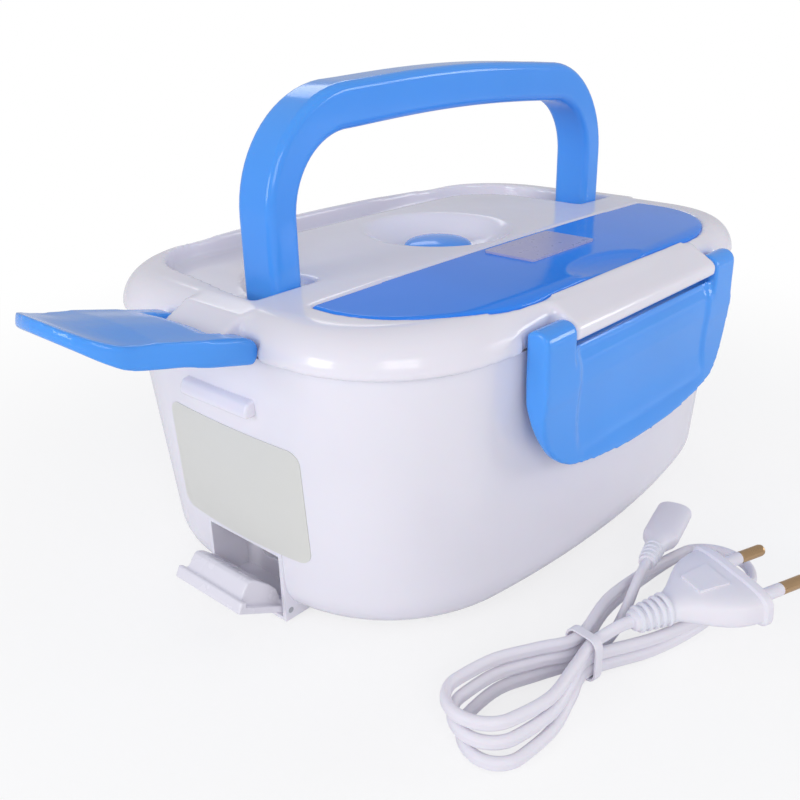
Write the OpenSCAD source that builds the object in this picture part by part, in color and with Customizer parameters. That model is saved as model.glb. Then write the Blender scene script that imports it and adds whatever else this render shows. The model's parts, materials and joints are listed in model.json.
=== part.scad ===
// Electric lunch box with a clip-on lid, a folding handle and a spoon compartment.
// The origin is on the surface it stands on, under the middle of the body.
// X runs along the length, -Y is the side with the spoon compartment, and +Z is up.

/* [Body] */
// Half length of the body at its rim
body_half_l = 112.3; // [105:0.5:120]
// Half width of the body at its rim
body_half_w = 77.2; // [70:0.5:84]
// Corner radius of the body at its rim
rim_corner_r = 42; // [34:1:48]
// Corner radius of the body near the floor
foot_corner_r = 56; // [44:1:60]
// How much each short side leans in between the rim and the bottom curve
end_draft = 1.6; // [0.5:0.1:4]
// How much each long side leans in between the rim and the bottom curve
side_draft = 0.4; // [0.2:0.1:3]
// Height of the rim above the floor
body_h = 91.2; // [85:0.5:100]
// Radius of the curve between the sides and the bottom
bottom_r = 15; // [10:1:18]
// Thickness of the body's wall
wall = 2.2; // [1.6:0.1:3]
// How far the long sides bulge
side_bow = 4.5; // [2:0.5:6]
// How far the short sides bulge
end_bow = 1; // [0.5:0.5:3]

/* [Lid] */
// How far the lid stands out past the body's rim at each end
lid_over_l = 2.7; // [1.8:0.1:5]
// How far the lid stands out past the body's rim along each long side
lid_over_w = 2.5; // [1.8:0.1:5]
// Corner radius of the lid
lid_corner_r = 43; // [36:1:50]
// Width of the rounding along the lid's edge
lid_round_w = 12; // [8:0.5:14]
// Height of the rounding along the lid's edge
lid_round_h = 11.4; // [8:0.2:13]
// Rise of the lid's top from its ends to its middle
lid_crown = 1.8; // [0:0.2:4]
// Gap between the lid's edge and the body's rim
lid_gap = 0.3; // [0.2:0.1:0.6]
// Thickness of the lid's wall
lid_wall = 2.2; // [1.6:0.1:2.6]

/* [Handle] */
// Half of the space between the handle's legs
handle_half_in = 81; // [76:0.5:84]
// Thickness of each leg
handle_leg_t = 9.4; // [7:0.2:10]
// Thickness of the grip
handle_grip_t = 14.3; // [10:0.5:16]
// Width of the strap that the handle is made of
handle_depth = 16; // [12:0.5:18]
// Height of the grip's underside above the pivot
handle_reach = 49.3; // [44:0.5:50]
// Inner corner radius of the handle
handle_corner_r = 24; // [16:1:30]
// Rise of the grip in its middle
handle_arch = 2; // [0:0.5:4]
// Radius of the handle's pivot pins
handle_pin_r = 2; // [1.5:0.1:2.5]
// How far back the handle folds, in degrees
handle_fold = 84; // [80:1:86]

/* [Latches] */
// Half width of the front and back latches
long_latch_half = 62; // [56:1:64]
// Drop of the front and back latches below their pivot
long_latch_drop = 45.5; // [40:0.5:48]
// Half width of the left and right latches
short_latch_half = 22; // [20:0.5:26]
// Drop of the left and right latches below their pivot
short_latch_drop = 58; // [48:0.5:60]
// Width of each latch arm
latch_arm_w = 15.5; // [12:0.5:18]
// Width of each arm on the left and right latches
short_arm_w = 8; // [7:0.5:10]
// Thickness of a latch's front plate
latch_plate_t = 3; // [2.4:0.2:3.4]
// Height of the latch pivots above the body's rim
latch_rise = 3.4; // [2.8:0.1:4.2]
// Radius of the latch's own pivot pegs
latch_peg_r = 1.5; // [1.2:0.1:1.7]
// How far the left latch stands open, in degrees
left_latch_open = 103; // [60:1:110]

/* [Spoon compartment] */
// Half length of the spoon compartment's cover
cover_half_l = 95.5; // [88:0.5:97]
// Distance from the middle of the lid to the cover's straight edge
cover_back_y = 24.5; // [23.5:0.5:28]
// Distance from the middle of the lid to the cover's front edge
cover_front_y = 71.2; // [66:0.2:71.6]
// Thickness of the cover
cover_t = 2.2; // [1.8:0.1:2.6]
// Length of the spoon
spoon_l = 150; // [130:1:156]

/* [Vent] */
// Distance from the middle of the lid to the vent's middle
vent_y = 8; // [6:0.5:10]
// Radius of the vent's dish
vent_dish_r = 28; // [22:0.5:28]
// Radius of the vent plug's head
vent_head_r = 13; // [9:0.5:14]
// Radius of the vent plug's stem
vent_stem_r = 5; // [3:0.5:6]

/* [Food containers] */
// Wall of the steel tray
tray_wall = 0.8; // [0.6:0.1:1.2]
// Wall of the plastic containers
tub_wall = 1.8; // [1.4:0.1:2.2]
// Half length of the side box
side_box_half_l = 27; // [22:0.5:30]
// Half width of the side box
side_box_half_w = 50; // [40:0.5:54]

/* [Power inlet] */
// Where the middle of the inlet lies along the short side
inlet_y = -2; // [-6:0.5:6]
// Half width of the inlet's recess
inlet_half_w = 17; // [14:0.5:19]
// Height of the inlet's recess above the floor
inlet_top = 24.5; // [22:0.5:25]
// Depth of the inlet's recess
inlet_depth = 13; // [10:0.5:16]
// Angle of the flap above the floor as it stands open
flap_tilt = 27; // [20:1:40]
// Half width of the label on the short side
label_half_w = 30.5; // [24:0.5:32]
// Height of the label on the short side
label_h = 38; // [30:0.5:40]

/* [Heater] */
// Half length of the heating plate
plate_half_l = 78; // [60:1:84]
// Half width of the heating plate
plate_half_w = 48; // [36:1:52]
// Thickness of the heating plate
plate_t = 2.5; // [2:0.1:3]

/* [Hidden] */

// Colours
body_white = [0.93, 0.92, 0.95];
clip_blue = [0.33, 0.58, 0.93];
steel = [0.75, 0.76, 0.78];

// Clearances
fit_gap = 0.3;
pin_gap = 0.05;

// Levels of the body
foot_h = 1.2;
floor_z = foot_h;
curve_top_z = floor_z + bottom_r;
curve_steps = 4;
corner_steps = 7;
long_steps = 6;
short_steps = 4;
lead_in = 1;

// Size and levels of the lid
lid_half_l = body_half_l + lid_over_l;
lid_half_w = body_half_w + lid_over_w;
skirt_z = body_h + lid_gap;
over_lid_z = skirt_z + 20.5;
lid_edge_z = skirt_z + lid_gap + lid_round_h;

// Handle pivot and the pocket that it folds into
handle_pivot = [0, 1.6, skirt_z + 7];
handle_foot_r = handle_depth / 2;
handle_half_out = handle_half_in + handle_leg_t;
handle_outer_r = handle_corner_r + 12;
handle_top = handle_reach + handle_grip_t;
pocket_front_y = handle_pivot[1] - handle_foot_r - 0.4;
pocket_slope = 90 - handle_fold;
pocket_half = handle_half_out + 11;
pocket_back_y = handle_pivot[1] + handle_top + handle_arch + 1.4;
pocket_wall = 1.6;
pocket_in_half = handle_half_in - 5;
pocket_in_y = handle_pivot[1] + handle_reach - 5;
pocket_drop = handle_foot_r + 0.4;
handle_boss_r = 4.6;

// Latches, measured outward and up from each pivot
latch_pivot_z = body_h + latch_rise;
long_pivot = lid_half_w + 0.1;
short_pivot = lid_half_l + 2;
latch_out = 4.5;
latch_in = 3.4;
latch_wall_t = 3;
flap_top_drop = 4.6;
arm_low = 12;
latch_top_r = 4.4;
hook_drop = 22.7;
ledge_face = 1.7;
hook_tip = ledge_face - 0.4;
ledge_top_z = latch_pivot_z - 17.6;
ledge_low_z = latch_pivot_z - hook_drop + fit_gap;
ledge_share = 0.62;
peg_l = 4.6;
notch_in = latch_top_r + 0.4;
pad_t = 1.6;
block_r = 4.3;

// Bottom opening and its cover
base_half_l = body_half_l - end_draft - bottom_r - 3.2;
base_half_w = body_half_w - side_draft - bottom_r - 3.2;
base_corner_r = foot_corner_r - bottom_r - 3.2;
base_t = 3;
base_ledge_w = 4.5;
base_ledge_t = 2.2;
base_rib = 2.7;
boss_x = base_half_l - 17;
boss_y = base_half_w - 17.1;
boss_r = 5;
boss_top_z = 19;
screw_r = 1.2;
screw_head_r = 2.8;
screw_head_h = 1.5;
foot_pad_r = 6;
foot_pad_t = 1;

// Levels inside the body
tub_rim_z = body_h - 1.8;
rim_lip = 1.1;
ledge_in_z = body_h - 8.2;
plate_top_z = 32.7;
plate_low_z = plate_top_z - plate_t;
tub_floor_z = plate_low_z - tub_wall;
tub_upper_inset = 3.9;
tub_ledge_w = 5.4;
tub_lean = 5;
tub_curve_r = 9;
tray_rim_z = ledge_in_z + fit_gap;
tray_rim_t = 1;
tray_floor_z = plate_top_z + fit_gap;
tray_lean = 5.5;
tray_curve_r = 12;
liner_z = body_h - 5.2;
liner_t = 1.6;
liner_in_l = 6.7;
liner_in_w = 6.9;
liner_in_r = 8.4;
liner_wall = 1.4;
liner_rim_z = body_h - 2.2;
seal_t = 1.4;
pocket_floor_t = 1;

// Spoon compartment
cover_corner = [48, 43.2];
cover_side_y = -30;
seat_w = 4.2;
spoon_floor_z = skirt_z - 0.5;
spoon_y = cover_back_y + 22.5;
shell_floor_t = 1.6;

// Vent
vent_floor_z = skirt_z + 4.5;
vent_floor_r = 15;

// Inlet, its flap and the label above it
inlet_x = 2.7 - body_half_l;
cup_wall = 1.6;
cup_floor = 1.2;
inlet_low = 2;
flap_axis = [inlet_x + 1.6, 0, 4.2];
flap_pin_r = 1;
flap_barrel_r = 1.9;
flap_half = inlet_half_w - 0.6;
flap_block_half = flap_half - 2.6;
flap_shut = 90 - flap_tilt;
socket_z = 13.5;
socket_r = 5.6;
socket_pitch = 8.6;
inlet_pin_r = 1.15;
label_low_z = inlet_top + cup_wall + 0.8;
label_t = 0.25;

// Cord, folded into a hank that a tie holds at its waist, drawn along u from the tie
cord_d = 4;
cord_r = cord_d / 2;
hank_at = [-70, -106];
hank_turn = -9;
hank_low = 2.8;
hank_step = 4.5;
hank_waist = 2.3;
hank_right = 78;
hank_left = 48;
fold_right = 13;
fold_left = 10.5;
swing_right = [0, 5];
swing_left = [3, 0, -4];
lead_pts = [[15, -5.2, 14.3], [11.2, -4, 13.9], [5.5, -2.7, 12.6]];
tail_pts = [[8, 2.3, 2.8], [12, 2.3, 2.9], [19, 2.8, 5.6], [26, 4.4, 10], [33, 7, 13],
            [39, 9.4, 13.8], [44, 11.4, 13.8]];
tail_turn = 21.8;
plug_turn = -17.5;
plug_rise = 5;
tie_w = 5;
tie_t = 0.7;

// Outline with bulging sides: four corner arcs, joined by four wide arcs that meet them without a kink.
function bulge_r(near, far, r) = (near * near + far * far - r * r) / (2 * (far - r));
function arc_pts(c, r, a0, a1, n) =
    [for (i = [0:n - 1]) let (a = a0 + (a1 - a0) * i / n) c + r * [cos(a), sin(a)]];
function outline(a, b, r, bow = side_bow, ebow = end_bow) =
    let (cx = a - r - ebow,
         cy = b - r - bow,
         big = bulge_r(cx, b - cy, r),
         end = bulge_r(cy, a - cx, r),
         t_long = atan2(cx, cy - b + big),
         t_end = atan2(cy, cx - a + end),
         upper = concat(arc_pts([cx, cy], r, t_end, 90 - t_long, corner_steps),
                        arc_pts([0, b - big], big, 90 - t_long, 90 + t_long, long_steps),
                        arc_pts([-cx, cy], r, 90 + t_long, 180 - t_end, corner_steps)),
         left = arc_pts([end - a, 0], end, 180 - t_end, 180 + t_end, short_steps))
    concat(upper, left, -upper, -left);
function at_height(pts, z) = [for (p = pts) [p[0], p[1], z]];

// Elliptic arc, from angle a0 to a1
function ellipse_pts(c, rx, ry, a0, a1, n) =
    [for (i = [0:n]) let (a = a0 + (a1 - a0) * i / n) [c[0] + rx * cos(a), c[1] + ry * sin(a)]];
function flip_x(pts) = [for (i = [len(pts) - 1:-1:0]) [-pts[i][0], pts[i][1]]];

// Closed solid through a stack of rings, listed from the bottom up; its top follows the last ring
// in strips across the width, so that the top may be crowned along the length.
module skin(rings) {
    n = len(rings[0]);
    last = (len(rings) - 1) * n;
    tip = n - short_steps / 2;
    walls = [for (i = [0:len(rings) - 2], j = [0:n - 1])
        let (k = (j + 1) % n, a = i * n + j, b = i * n + k)
        each [[a, a + n, b + n], [a, b + n, b]]];
    strips = [for (k = [0:n / 2 - 1])
        let (r0 = last + (tip - k) % n, r1 = last + (tip - k - 1) % n,
             l0 = last + (tip + k) % n, l1 = last + (tip + k + 1) % n)
        k == 0 ? [r0, r1, l1] : k == n / 2 - 1 ? [r0, r1, l0] : [r0, r1, l1, l0]];
    polyhedron(points = [for (r = rings) each r],
               faces = concat([[for (j = [0:n - 1]) j]], walls, strips), convexity = 6);
}

// Body outline at a height, drawn in by an inset
function lean_at(z) = (body_h - z) / (body_h - curve_top_z);
function body_outline(z, inset) =
    let (f = lean_at(z))
    outline(body_half_l - end_draft * f - inset, body_half_w - side_draft * f - inset,
            rim_corner_r + (foot_corner_r - rim_corner_r) * f - inset);
// The body's surface, or one that lies a distance inside it
function body_rings(depth, top_z) = concat(
    [for (i = [0:curve_steps])
        let (a = 90 - 90 * i / curve_steps,
             r = bottom_r - depth,
             z = curve_top_z - r * sin(a),
             pts = body_outline(curve_top_z, depth + r * (1 - cos(a))))
        at_height(pts, z)],
    [at_height(body_outline((curve_top_z + body_h) / 2, depth), (curve_top_z + body_h) / 2),
     at_height(body_outline(body_h, depth), top_z)]);

// Lid surface: a rounded edge under a crowned top, or one that lies a distance inside it
lid_steps = 6;
function lid_outline(inset) = outline(lid_half_l - inset, lid_half_w - inset, lid_corner_r - inset);
function lid_rings(depth, low_z) = concat(
    [at_height(lid_outline(depth), low_z)],
    [for (i = [0:lid_steps])
        let (a = 90 * i / lid_steps)
        [for (p = lid_outline(depth + (lid_round_w - depth) * (1 - cos(a))))
            [p[0], p[1], lid_edge_z - lid_round_h + (lid_round_h - depth) * sin(a)
                + lid_crown * sin(a) * (1 - pow(p[0] / lid_half_l, 2))]]]);

// Rings of a pan whose sides lean in toward its floor and meet it in a curve
function pan_rings(a, b, r, lean, curve, low_z, top_z, bow = side_bow, ebow = end_bow) = concat(
    [for (i = [0:3])
        let (t = 90 - 30 * i, d = lean + curve * (1 - cos(t)))
        at_height(outline(a - d, b - d, r - d, bow, ebow), low_z + curve * (1 - sin(t)))],
    [at_height(outline(a, b, r, bow, ebow), top_z)]);

// Plate or ring between two heights, with the body's outline drawn in from the rim by an inset
module rim_slab(inset, low_z, top_z) {
    translate([0, 0, low_z]) linear_extrude(top_z - low_z)
        polygon(outline(body_half_l - inset, body_half_w - inset, rim_corner_r - inset));
}
module base_slab(inset, low_z, top_z) {
    translate([0, 0, low_z]) linear_extrude(top_z - low_z)
        polygon(outline(base_half_l - inset, base_half_w - inset, base_corner_r - inset));
}
module liner_slab(inset, low_z, top_z) {
    translate([0, 0, low_z]) linear_extrude(top_z - low_z)
        polygon(outline(body_half_l - liner_in_l - inset, body_half_w - liner_in_w - inset,
                        rim_corner_r - liner_in_r - inset));
}
// Box between two corners
module block(low, high) {
    translate(low) cube(high - low);
}
// Cylinder along X from one x to another, at [y, z]
module rod_x(x0, x1, at, r) {
    translate([x0, at[0], at[1]]) rotate([0, 90, 0]) cylinder(r = r, h = x1 - x0);
}
// Cylinder along Y from one y to another, at [x, z]
module rod_y(y0, y1, at, r) {
    translate([at[0], y0, at[1]]) rotate([-90, 0, 0]) cylinder(r = r, h = y1 - y0);
}
// Shape drawn in y and z, standing across X
module across_x(x0, x1) {
    translate([x0, 0, 0]) rotate([90, 0, 90]) linear_extrude(x1 - x0) children();
}
module four_ways(x, y) {
    for (i = [-1, 1], j = [-1, 1]) translate([i * x, j * y, 0]) children();
}

// Housing
module catch_ledge(half, far, near) {
    rotate([90, 0, 0]) translate([0, 0, -half]) linear_extrude(2 * half)
        polygon([[near, ledge_low_z], [far, ledge_low_z], [far, ledge_low_z + 2.2],
                 [far - 1.2, ledge_top_z], [near, ledge_top_z + 1]]);
}
module inlet_hole(gap) {
    block([-body_half_l - 8, inlet_y - inlet_half_w - cup_wall - gap, -1],
          [inlet_x + inlet_depth + 2 * cup_wall + gap, inlet_y + inlet_half_w + cup_wall + gap,
           inlet_top + cup_wall + gap]);
}
module housing() {
    color(body_white) difference() {
        union() {
            difference() {
                union() {
                    skin(body_rings(0, body_h));
                    for (s = [0, 180]) rotate([0, 0, s])
                        catch_ledge(short_latch_half - 6, short_pivot - ledge_face, body_half_l - 3);
                    for (s = [90, 270]) rotate([0, 0, s])
                        catch_ledge(ledge_share * long_latch_half, long_pivot - ledge_face,
                                    body_half_w - 5);
                }
                skin(body_rings(wall, body_h + lead_in));
            }
            base_slab(-base_rib, floor_z + base_t - 1.2, floor_z + base_t + base_ledge_t);
            four_ways(boss_x, boss_y) translate([0, 0, floor_z + base_t])
                cylinder(r = boss_r, h = boss_top_z - floor_z - base_t);
        }
        rim_slab(rim_lip, tub_rim_z, body_h + lead_in);
        base_slab(0, -lead_in, floor_z + base_t);
        difference() {
            base_slab(base_ledge_w, 0, floor_z + base_t + base_ledge_t + 1);
            four_ways(boss_x, boss_y) cylinder(r = boss_r, h = boss_top_z);
        }
        four_ways(boss_x, boss_y) translate([0, 0, floor_z + base_t - 1])
            cylinder(r = screw_r + pin_gap, h = 11);
        inlet_hole(0);
    }
}

// Bottom cover, its screws and its feet
module base_cover() {
    color(body_white) difference() {
        base_slab(fit_gap, floor_z, floor_z + base_t);
        four_ways(boss_x, boss_y) {
            translate([0, 0, floor_z - 1]) cylinder(r = screw_head_r + 0.4, h = 1 + screw_head_h + 0.4);
            cylinder(r = screw_r + 0.3, h = 8);
        }
        four_ways(56, 30) cylinder(r = foot_pad_r + 0.2, h = floor_z + foot_pad_t);
        cylinder(r = foot_pad_r + 0.2, h = floor_z + foot_pad_t);
        for (i = [-3:3], j = [-1, 1]) translate([i * 9, j * 17, 2]) cube([3, 16, 8], center = true);
    }
}
module base_screws() {
    color(steel) four_ways(boss_x, boss_y) translate([0, 0, floor_z + 0.4]) difference() {
        union() {
            cylinder(r = screw_head_r, h = screw_head_h);
            cylinder(r = screw_r, h = 10.5);
        }
        translate([-1.8, -0.35, -1]) cube([3.6, 0.7, 1.8]);
        translate([-0.35, -1.8, -1]) cube([0.7, 3.6, 1.8]);
    }
}
module feet() {
    color([0.55, 0.56, 0.58]) {
        four_ways(56, 30) difference() {
            cylinder(r = foot_pad_r, h = floor_z + foot_pad_t);
            translate([0, 0, -1]) cylinder(r = foot_pad_r - 2, h = 1.4);
        }
        cylinder(r = foot_pad_r, h = floor_z + foot_pad_t);
    }
}

// Inner tub that the tray hangs in, and what heats it
tub_inset = wall + tub_upper_inset - tub_wall;
lower_inset = tub_inset + tub_wall + tub_ledge_w;
module tub_space(grow, low_z, top_z) {
    skin(pan_rings(body_half_l - lower_inset + grow, body_half_w - lower_inset + grow,
                   rim_corner_r - lower_inset + grow, tub_lean, tub_curve_r + grow, low_z, top_z));
}
module inner_tub() {
    color([0.86, 0.86, 0.88]) difference() {
        union() {
            tub_space(tub_wall, tub_floor_z, ledge_in_z - tub_wall + 0.4);
            rim_slab(tub_inset, ledge_in_z - tub_wall, body_h);
            rim_slab(rim_lip + fit_gap / 2, tub_rim_z, body_h);
        }
        tub_space(0, plate_low_z, ledge_in_z + 0.5);
        rim_slab(tub_inset + tub_wall, ledge_in_z, body_h + lead_in);
        block([-plate_half_l + 7, -plate_half_w + 7, 20], [plate_half_l - 7, plate_half_w - 7, 40]);
        four_ways(plate_half_l - 4, plate_half_w - 4)
            translate([0, 0, 20]) cylinder(r = screw_r + pin_gap, h = 20);
    }
}
module tub_screws() {
    color(steel) four_ways(plate_half_l - 4, plate_half_w - 4) translate([0, 0, tub_floor_z]) {
        translate([0, 0, -screw_head_h]) cylinder(r = screw_head_r, h = screw_head_h);
        translate([0, 0, -0.5]) cylinder(r = screw_r, h = 0.5 + plate_low_z - tub_floor_z + 1.4);
    }
}
module heating_plate() {
    color([0.8, 0.81, 0.82]) difference() {
        translate([0, 0, plate_low_z]) linear_extrude(plate_t)
            polygon(outline(plate_half_l, plate_half_w, 12, 2, 1));
        four_ways(plate_half_l - 4, plate_half_w - 4)
            translate([0, 0, plate_low_z - 1]) cylinder(r = screw_r + pin_gap, h = 1 + 1.6);
        for (s = [-1, 1]) translate([s * 18, 0, plate_low_z - 1])
            cylinder(r = screw_r + pin_gap, h = 1 + 1.6);
    }
}
heater_t = 4;
module heater_element() {
    color([0.72, 0.55, 0.35]) translate([0, 0, plate_low_z - heater_t]) difference() {
        linear_extrude(heater_t) polygon(outline(40, 15, 6, 1, 1));
        for (s = [-1, 1]) translate([s * 18, 0, -1]) cylinder(r = 4, h = heater_t + 2);
    }
}
clamp_z = plate_low_z - heater_t - 1;
module heater_clamp() {
    color(steel) difference() {
        union() {
            block([-26, -10, clamp_z], [26, 10, clamp_z + 1]);
            for (s = [-1, 1]) block([-26 + (s > 0 ? 51 : 0), -10, clamp_z - 3],
                                    [-25 + (s > 0 ? 51 : 0), 10, clamp_z + 1]);
        }
        for (s = [-1, 1]) translate([s * 18, 0, clamp_z - 1]) cylinder(r = screw_r + 0.1, h = 4);
    }
}
module clamp_screws() {
    color(steel) for (s = [-1, 1]) translate([s * 18, 0, 0]) {
        translate([0, 0, clamp_z - screw_head_h]) cylinder(r = screw_head_r, h = screw_head_h);
        translate([0, 0, clamp_z - 0.5]) cylinder(r = screw_r, h = 0.5 + 1 + heater_t + 1.4);
    }
}
module thermostat() {
    color([0.2, 0.2, 0.22]) translate([-56, 16, 0]) {
        translate([0, 0, plate_low_z - 1]) cylinder(r = 8, h = 1);
        translate([0, 0, plate_low_z - 7]) cylinder(r = 7, h = 6.2);
        for (s = [-1, 1]) translate([s * 5 - 0.4, -2, plate_low_z - 12]) cube([0.8, 4, 5.5]);
    }
}
module thermal_fuse() {
    color([0.85, 0.85, 0.86]) translate([0, 0, plate_low_z - 2.2]) {
        rod_y(-26, -16, [-56, 0], 2);
        rod_y(-29, -13, [-56, 0], 0.5);
    }
}
// Tube along a list of points; ref is never along the tube
function unit(v) = v / norm(v);
function way(pts, i) = unit(pts[min(i + 1, len(pts) - 1)] - pts[max(i - 1, 0)]);
function tube_ring(at, dir, ref, r, sides) =
    let (side = unit(cross(dir, ref)), up = cross(side, dir))
    [for (k = [0:sides - 1])
        let (a = 360 * (k + 0.5) / sides) at + r * (cos(a) * side + sin(a) * up)];
module tube(pts, r, sides, ref) {
    n = len(pts);
    points = [for (i = [0:n - 1]) each tube_ring(pts[i], way(pts, i), ref, r, sides)];
    walls = [for (i = [0:n - 2], k = [0:sides - 1])
        let (m = (k + 1) % sides, a = i * sides + k, b = i * sides + m)
        each [[a, b, b + sides], [a, b + sides, a + sides]]];
    polyhedron(points = points,
               faces = concat([[for (k = [sides - 1:-1:0]) k]], walls,
                              [[for (k = [0:sides - 1]) (n - 1) * sides + k]]), convexity = 8);
}
wire_r = 1;
module wiring() {
    near_y = inlet_y + socket_pitch / 2;
    far_y = inlet_y - socket_pitch / 2;
    color([0.75, 0.2, 0.18]) {
        tube([[-86.2, near_y, socket_z], [-80, near_y, socket_z], [-74, 6, 13.4], [-68, 11, 13.6],
              [-63, 15, 15], [-61.2, 16, 17.9]], wire_r, 8, [0, 1, 0]);
        tube([[-50.8, 16, 17.9], [-50, 16, 15.4], [-46, 15, 14], [-40, 13, 15], [-35, 12, 19],
              [-34, 12, 26.1]], wire_r, 8, [0, 1, 0]);
        tube([[-86.2, far_y, socket_z], [-80, far_y, socket_z], [-74, -8, 13.6], [-66, -10, 16],
              [-60, -11, 22], [-57, -12, 26]], wire_r, 8, [0, 1, 0]);
        tube([[-55, -30, 26], [-52, -29, 21], [-46, -24, 18], [-38, -15, 18], [-34.5, -12, 21],
              [-34, -12, 26.1]], wire_r, 8, [0, 1, 0]);
    }
}

// Power inlet, the flap that closes it and the blank label above it
module eight(r) {
    for (s = [-1, 1]) translate([0, s * socket_pitch / 2]) circle(r = r);
    square([2 * r - 1.4, socket_pitch], center = true);
}
module along_x(x0, x1) {
    translate([x0, inlet_y, socket_z]) rotate([0, 90, 0]) linear_extrude(x1 - x0) children();
}
cup_back_x = inlet_x + inlet_depth;
socket_front_x = cup_back_x - 0.8;
module inlet_cup() {
    color(body_white) difference() {
        block([inlet_x - 0.6, inlet_y - inlet_half_w - cup_wall, inlet_low - cup_floor],
              [cup_back_x + 2 * cup_wall, inlet_y + inlet_half_w + cup_wall, inlet_top + cup_wall]);
        block([inlet_x - 3, inlet_y - inlet_half_w, inlet_low],
              [cup_back_x, inlet_y + inlet_half_w, inlet_top]);
        along_x(cup_back_x - 1, cup_back_x + 9) eight(socket_r);
        rod_y(inlet_y - 30, inlet_y + 30, [flap_axis[0], flap_axis[2]], flap_pin_r);
    }
}
module inlet_socket() {
    color([0.12, 0.12, 0.13]) difference() {
        union() {
            along_x(socket_front_x, cup_back_x + 2 * cup_wall) eight(socket_r);
            along_x(cup_back_x + 2 * cup_wall, cup_back_x + 2 * cup_wall + 3) eight(socket_r + 1.2);
        }
        along_x(socket_front_x - 1, cup_back_x + 2 * cup_wall + 1.4) eight(socket_r - 1.5);
        for (s = [-1, 1])
            rod_x(-110, -80, [inlet_y + s * socket_pitch / 2, socket_z], inlet_pin_r);
    }
}
module inlet_pins() {
    color(steel) for (s = [-1, 1])
        rod_x(socket_front_x + 0.6, -86.2, [inlet_y + s * socket_pitch / 2, socket_z], inlet_pin_r);
}
module flap_pin() {
    color(steel) rod_y(inlet_y - inlet_half_w - cup_wall, inlet_y + inlet_half_w + cup_wall,
                       [flap_axis[0], flap_axis[2]], flap_pin_r);
}
// The flap is drawn shut, with its pin at the origin and its outer face toward -X
flap_l = 19.9;
module inlet_flap() {
    color(body_white) translate([flap_axis[0], inlet_y, flap_axis[2]]) rotate([0, -flap_shut, 0])
        difference() {
            union() {
                rod_y(-flap_half, flap_half, [0, 0], flap_barrel_r);
                block([-flap_barrel_r, -flap_half, 0], [0.6, flap_half, flap_l]);
                block([-flap_barrel_r, -flap_half, flap_l - 2.2], [2.1, flap_half, flap_l]);
                rotate([90, 0, 0]) translate([0, 0, -flap_block_half])
                    linear_extrude(2 * flap_block_half)
                    polygon([[0.4, 7.4], [6.6, 7.8], [8.4, 15.2], [8, 17.2], [6.6, 18.6], [0.4, 18.8]]);
            }
            rod_y(-30, 30, [0, 0], flap_pin_r + pin_gap);
            rotate([90, 0, 0]) translate([0, 0, -flap_block_half + 1.6])
                linear_extrude(2 * flap_block_half - 3.2)
                polygon([[2.4, 9.2], [12, 9.4], [12, 16.4], [2.4, 16.4]]);
        }
}
module side_label() {
    color([0.8, 0.78, 0.86]) intersection() {
        difference() {
            skin(body_rings(-label_t, body_h));
            skin(body_rings(0, body_h));
        }
        block([-130, inlet_y - label_half_w, label_low_z], [-60, inlet_y + label_half_w,
              label_low_z + label_h]);
    }
}

// Food containers
module pan_space(grow, low_z, top_z) {
    skin(pan_rings(body_half_l - lower_inset - 1.2 - grow, body_half_w - lower_inset - 1.2 - grow,
                   rim_corner_r - lower_inset - 1.2 - grow, tray_lean, tray_curve_r - grow,
                   low_z, top_z));
}
module food_tray() {
    color(steel) difference() {
        union() {
            pan_space(0, tray_floor_z, tray_rim_z + tray_rim_t / 2);
            rim_slab(tub_inset + tub_wall + 0.8, tray_rim_z, tray_rim_z + tray_rim_t);
        }
        pan_space(tray_wall, tray_floor_z + tray_wall, tray_rim_z + tray_rim_t + 1);
    }
}
side_box_x = 50;
side_box_top = ledge_in_z - 1.5;
module box_space(grow, low_z, top_z) {
    translate([side_box_x, 0, 0])
        skin(pan_rings(side_box_half_l - grow, side_box_half_w - grow, 13 - grow, 3, 9 - grow,
                       low_z, top_z, 2, 1));
}
box_floor_z = tray_floor_z + tray_wall + fit_gap;
module side_box() {
    color([0.9, 0.9, 0.92]) difference() {
        box_space(0, box_floor_z, side_box_top);
        box_space(1.4, box_floor_z + 1.4, side_box_top + 1);
    }
}
module side_box_lid() {
    color([0.7, 0.8, 0.95]) translate([side_box_x, 0, 0]) difference() {
        translate([0, 0, side_box_top - 3]) linear_extrude(4.5)
            polygon(outline(side_box_half_l + 1.5, side_box_half_w + 1.5, 14.5, 2, 1));
        translate([0, 0, side_box_top - 4]) linear_extrude(4.3)
            polygon(outline(side_box_half_l + 0.3, side_box_half_w + 0.3, 13.3, 2, 1));
    }
}

// Plan of the pocket that the handle folds into, drawn out by a margin
function pocket_right(m) = concat(
    [[pocket_half + m, pocket_front_y - m], [pocket_half - 2.4 + m, 10],
     [pocket_half - 5.4 + m, 28]],
    ellipse_pts([62, 34.7], pocket_half - 67.4 + m, pocket_back_y - 34.7 + m, 4, 90, 9));
function island_right(m) = concat(
    [[pocket_in_half - m, pocket_front_y - 30]],
    ellipse_pts([pocket_in_half - 24, pocket_in_y - 24], 24 - m, 24 - m, 0, 90, 7));
module pocket_plan(m) {
    difference() {
        polygon(concat(pocket_right(m), flip_x(pocket_right(m))));
        polygon(concat(island_right(m), flip_x(island_right(m))));
    }
}
module pocket_space(m, drop) {
    intersection() {
        translate([0, 0, liner_z - 6]) linear_extrude(40) pocket_plan(m);
        translate(handle_pivot) rotate([pocket_slope, 0, 0])
            block([-150, -60, -drop], [150, 120, 60]);
    }
}

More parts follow.
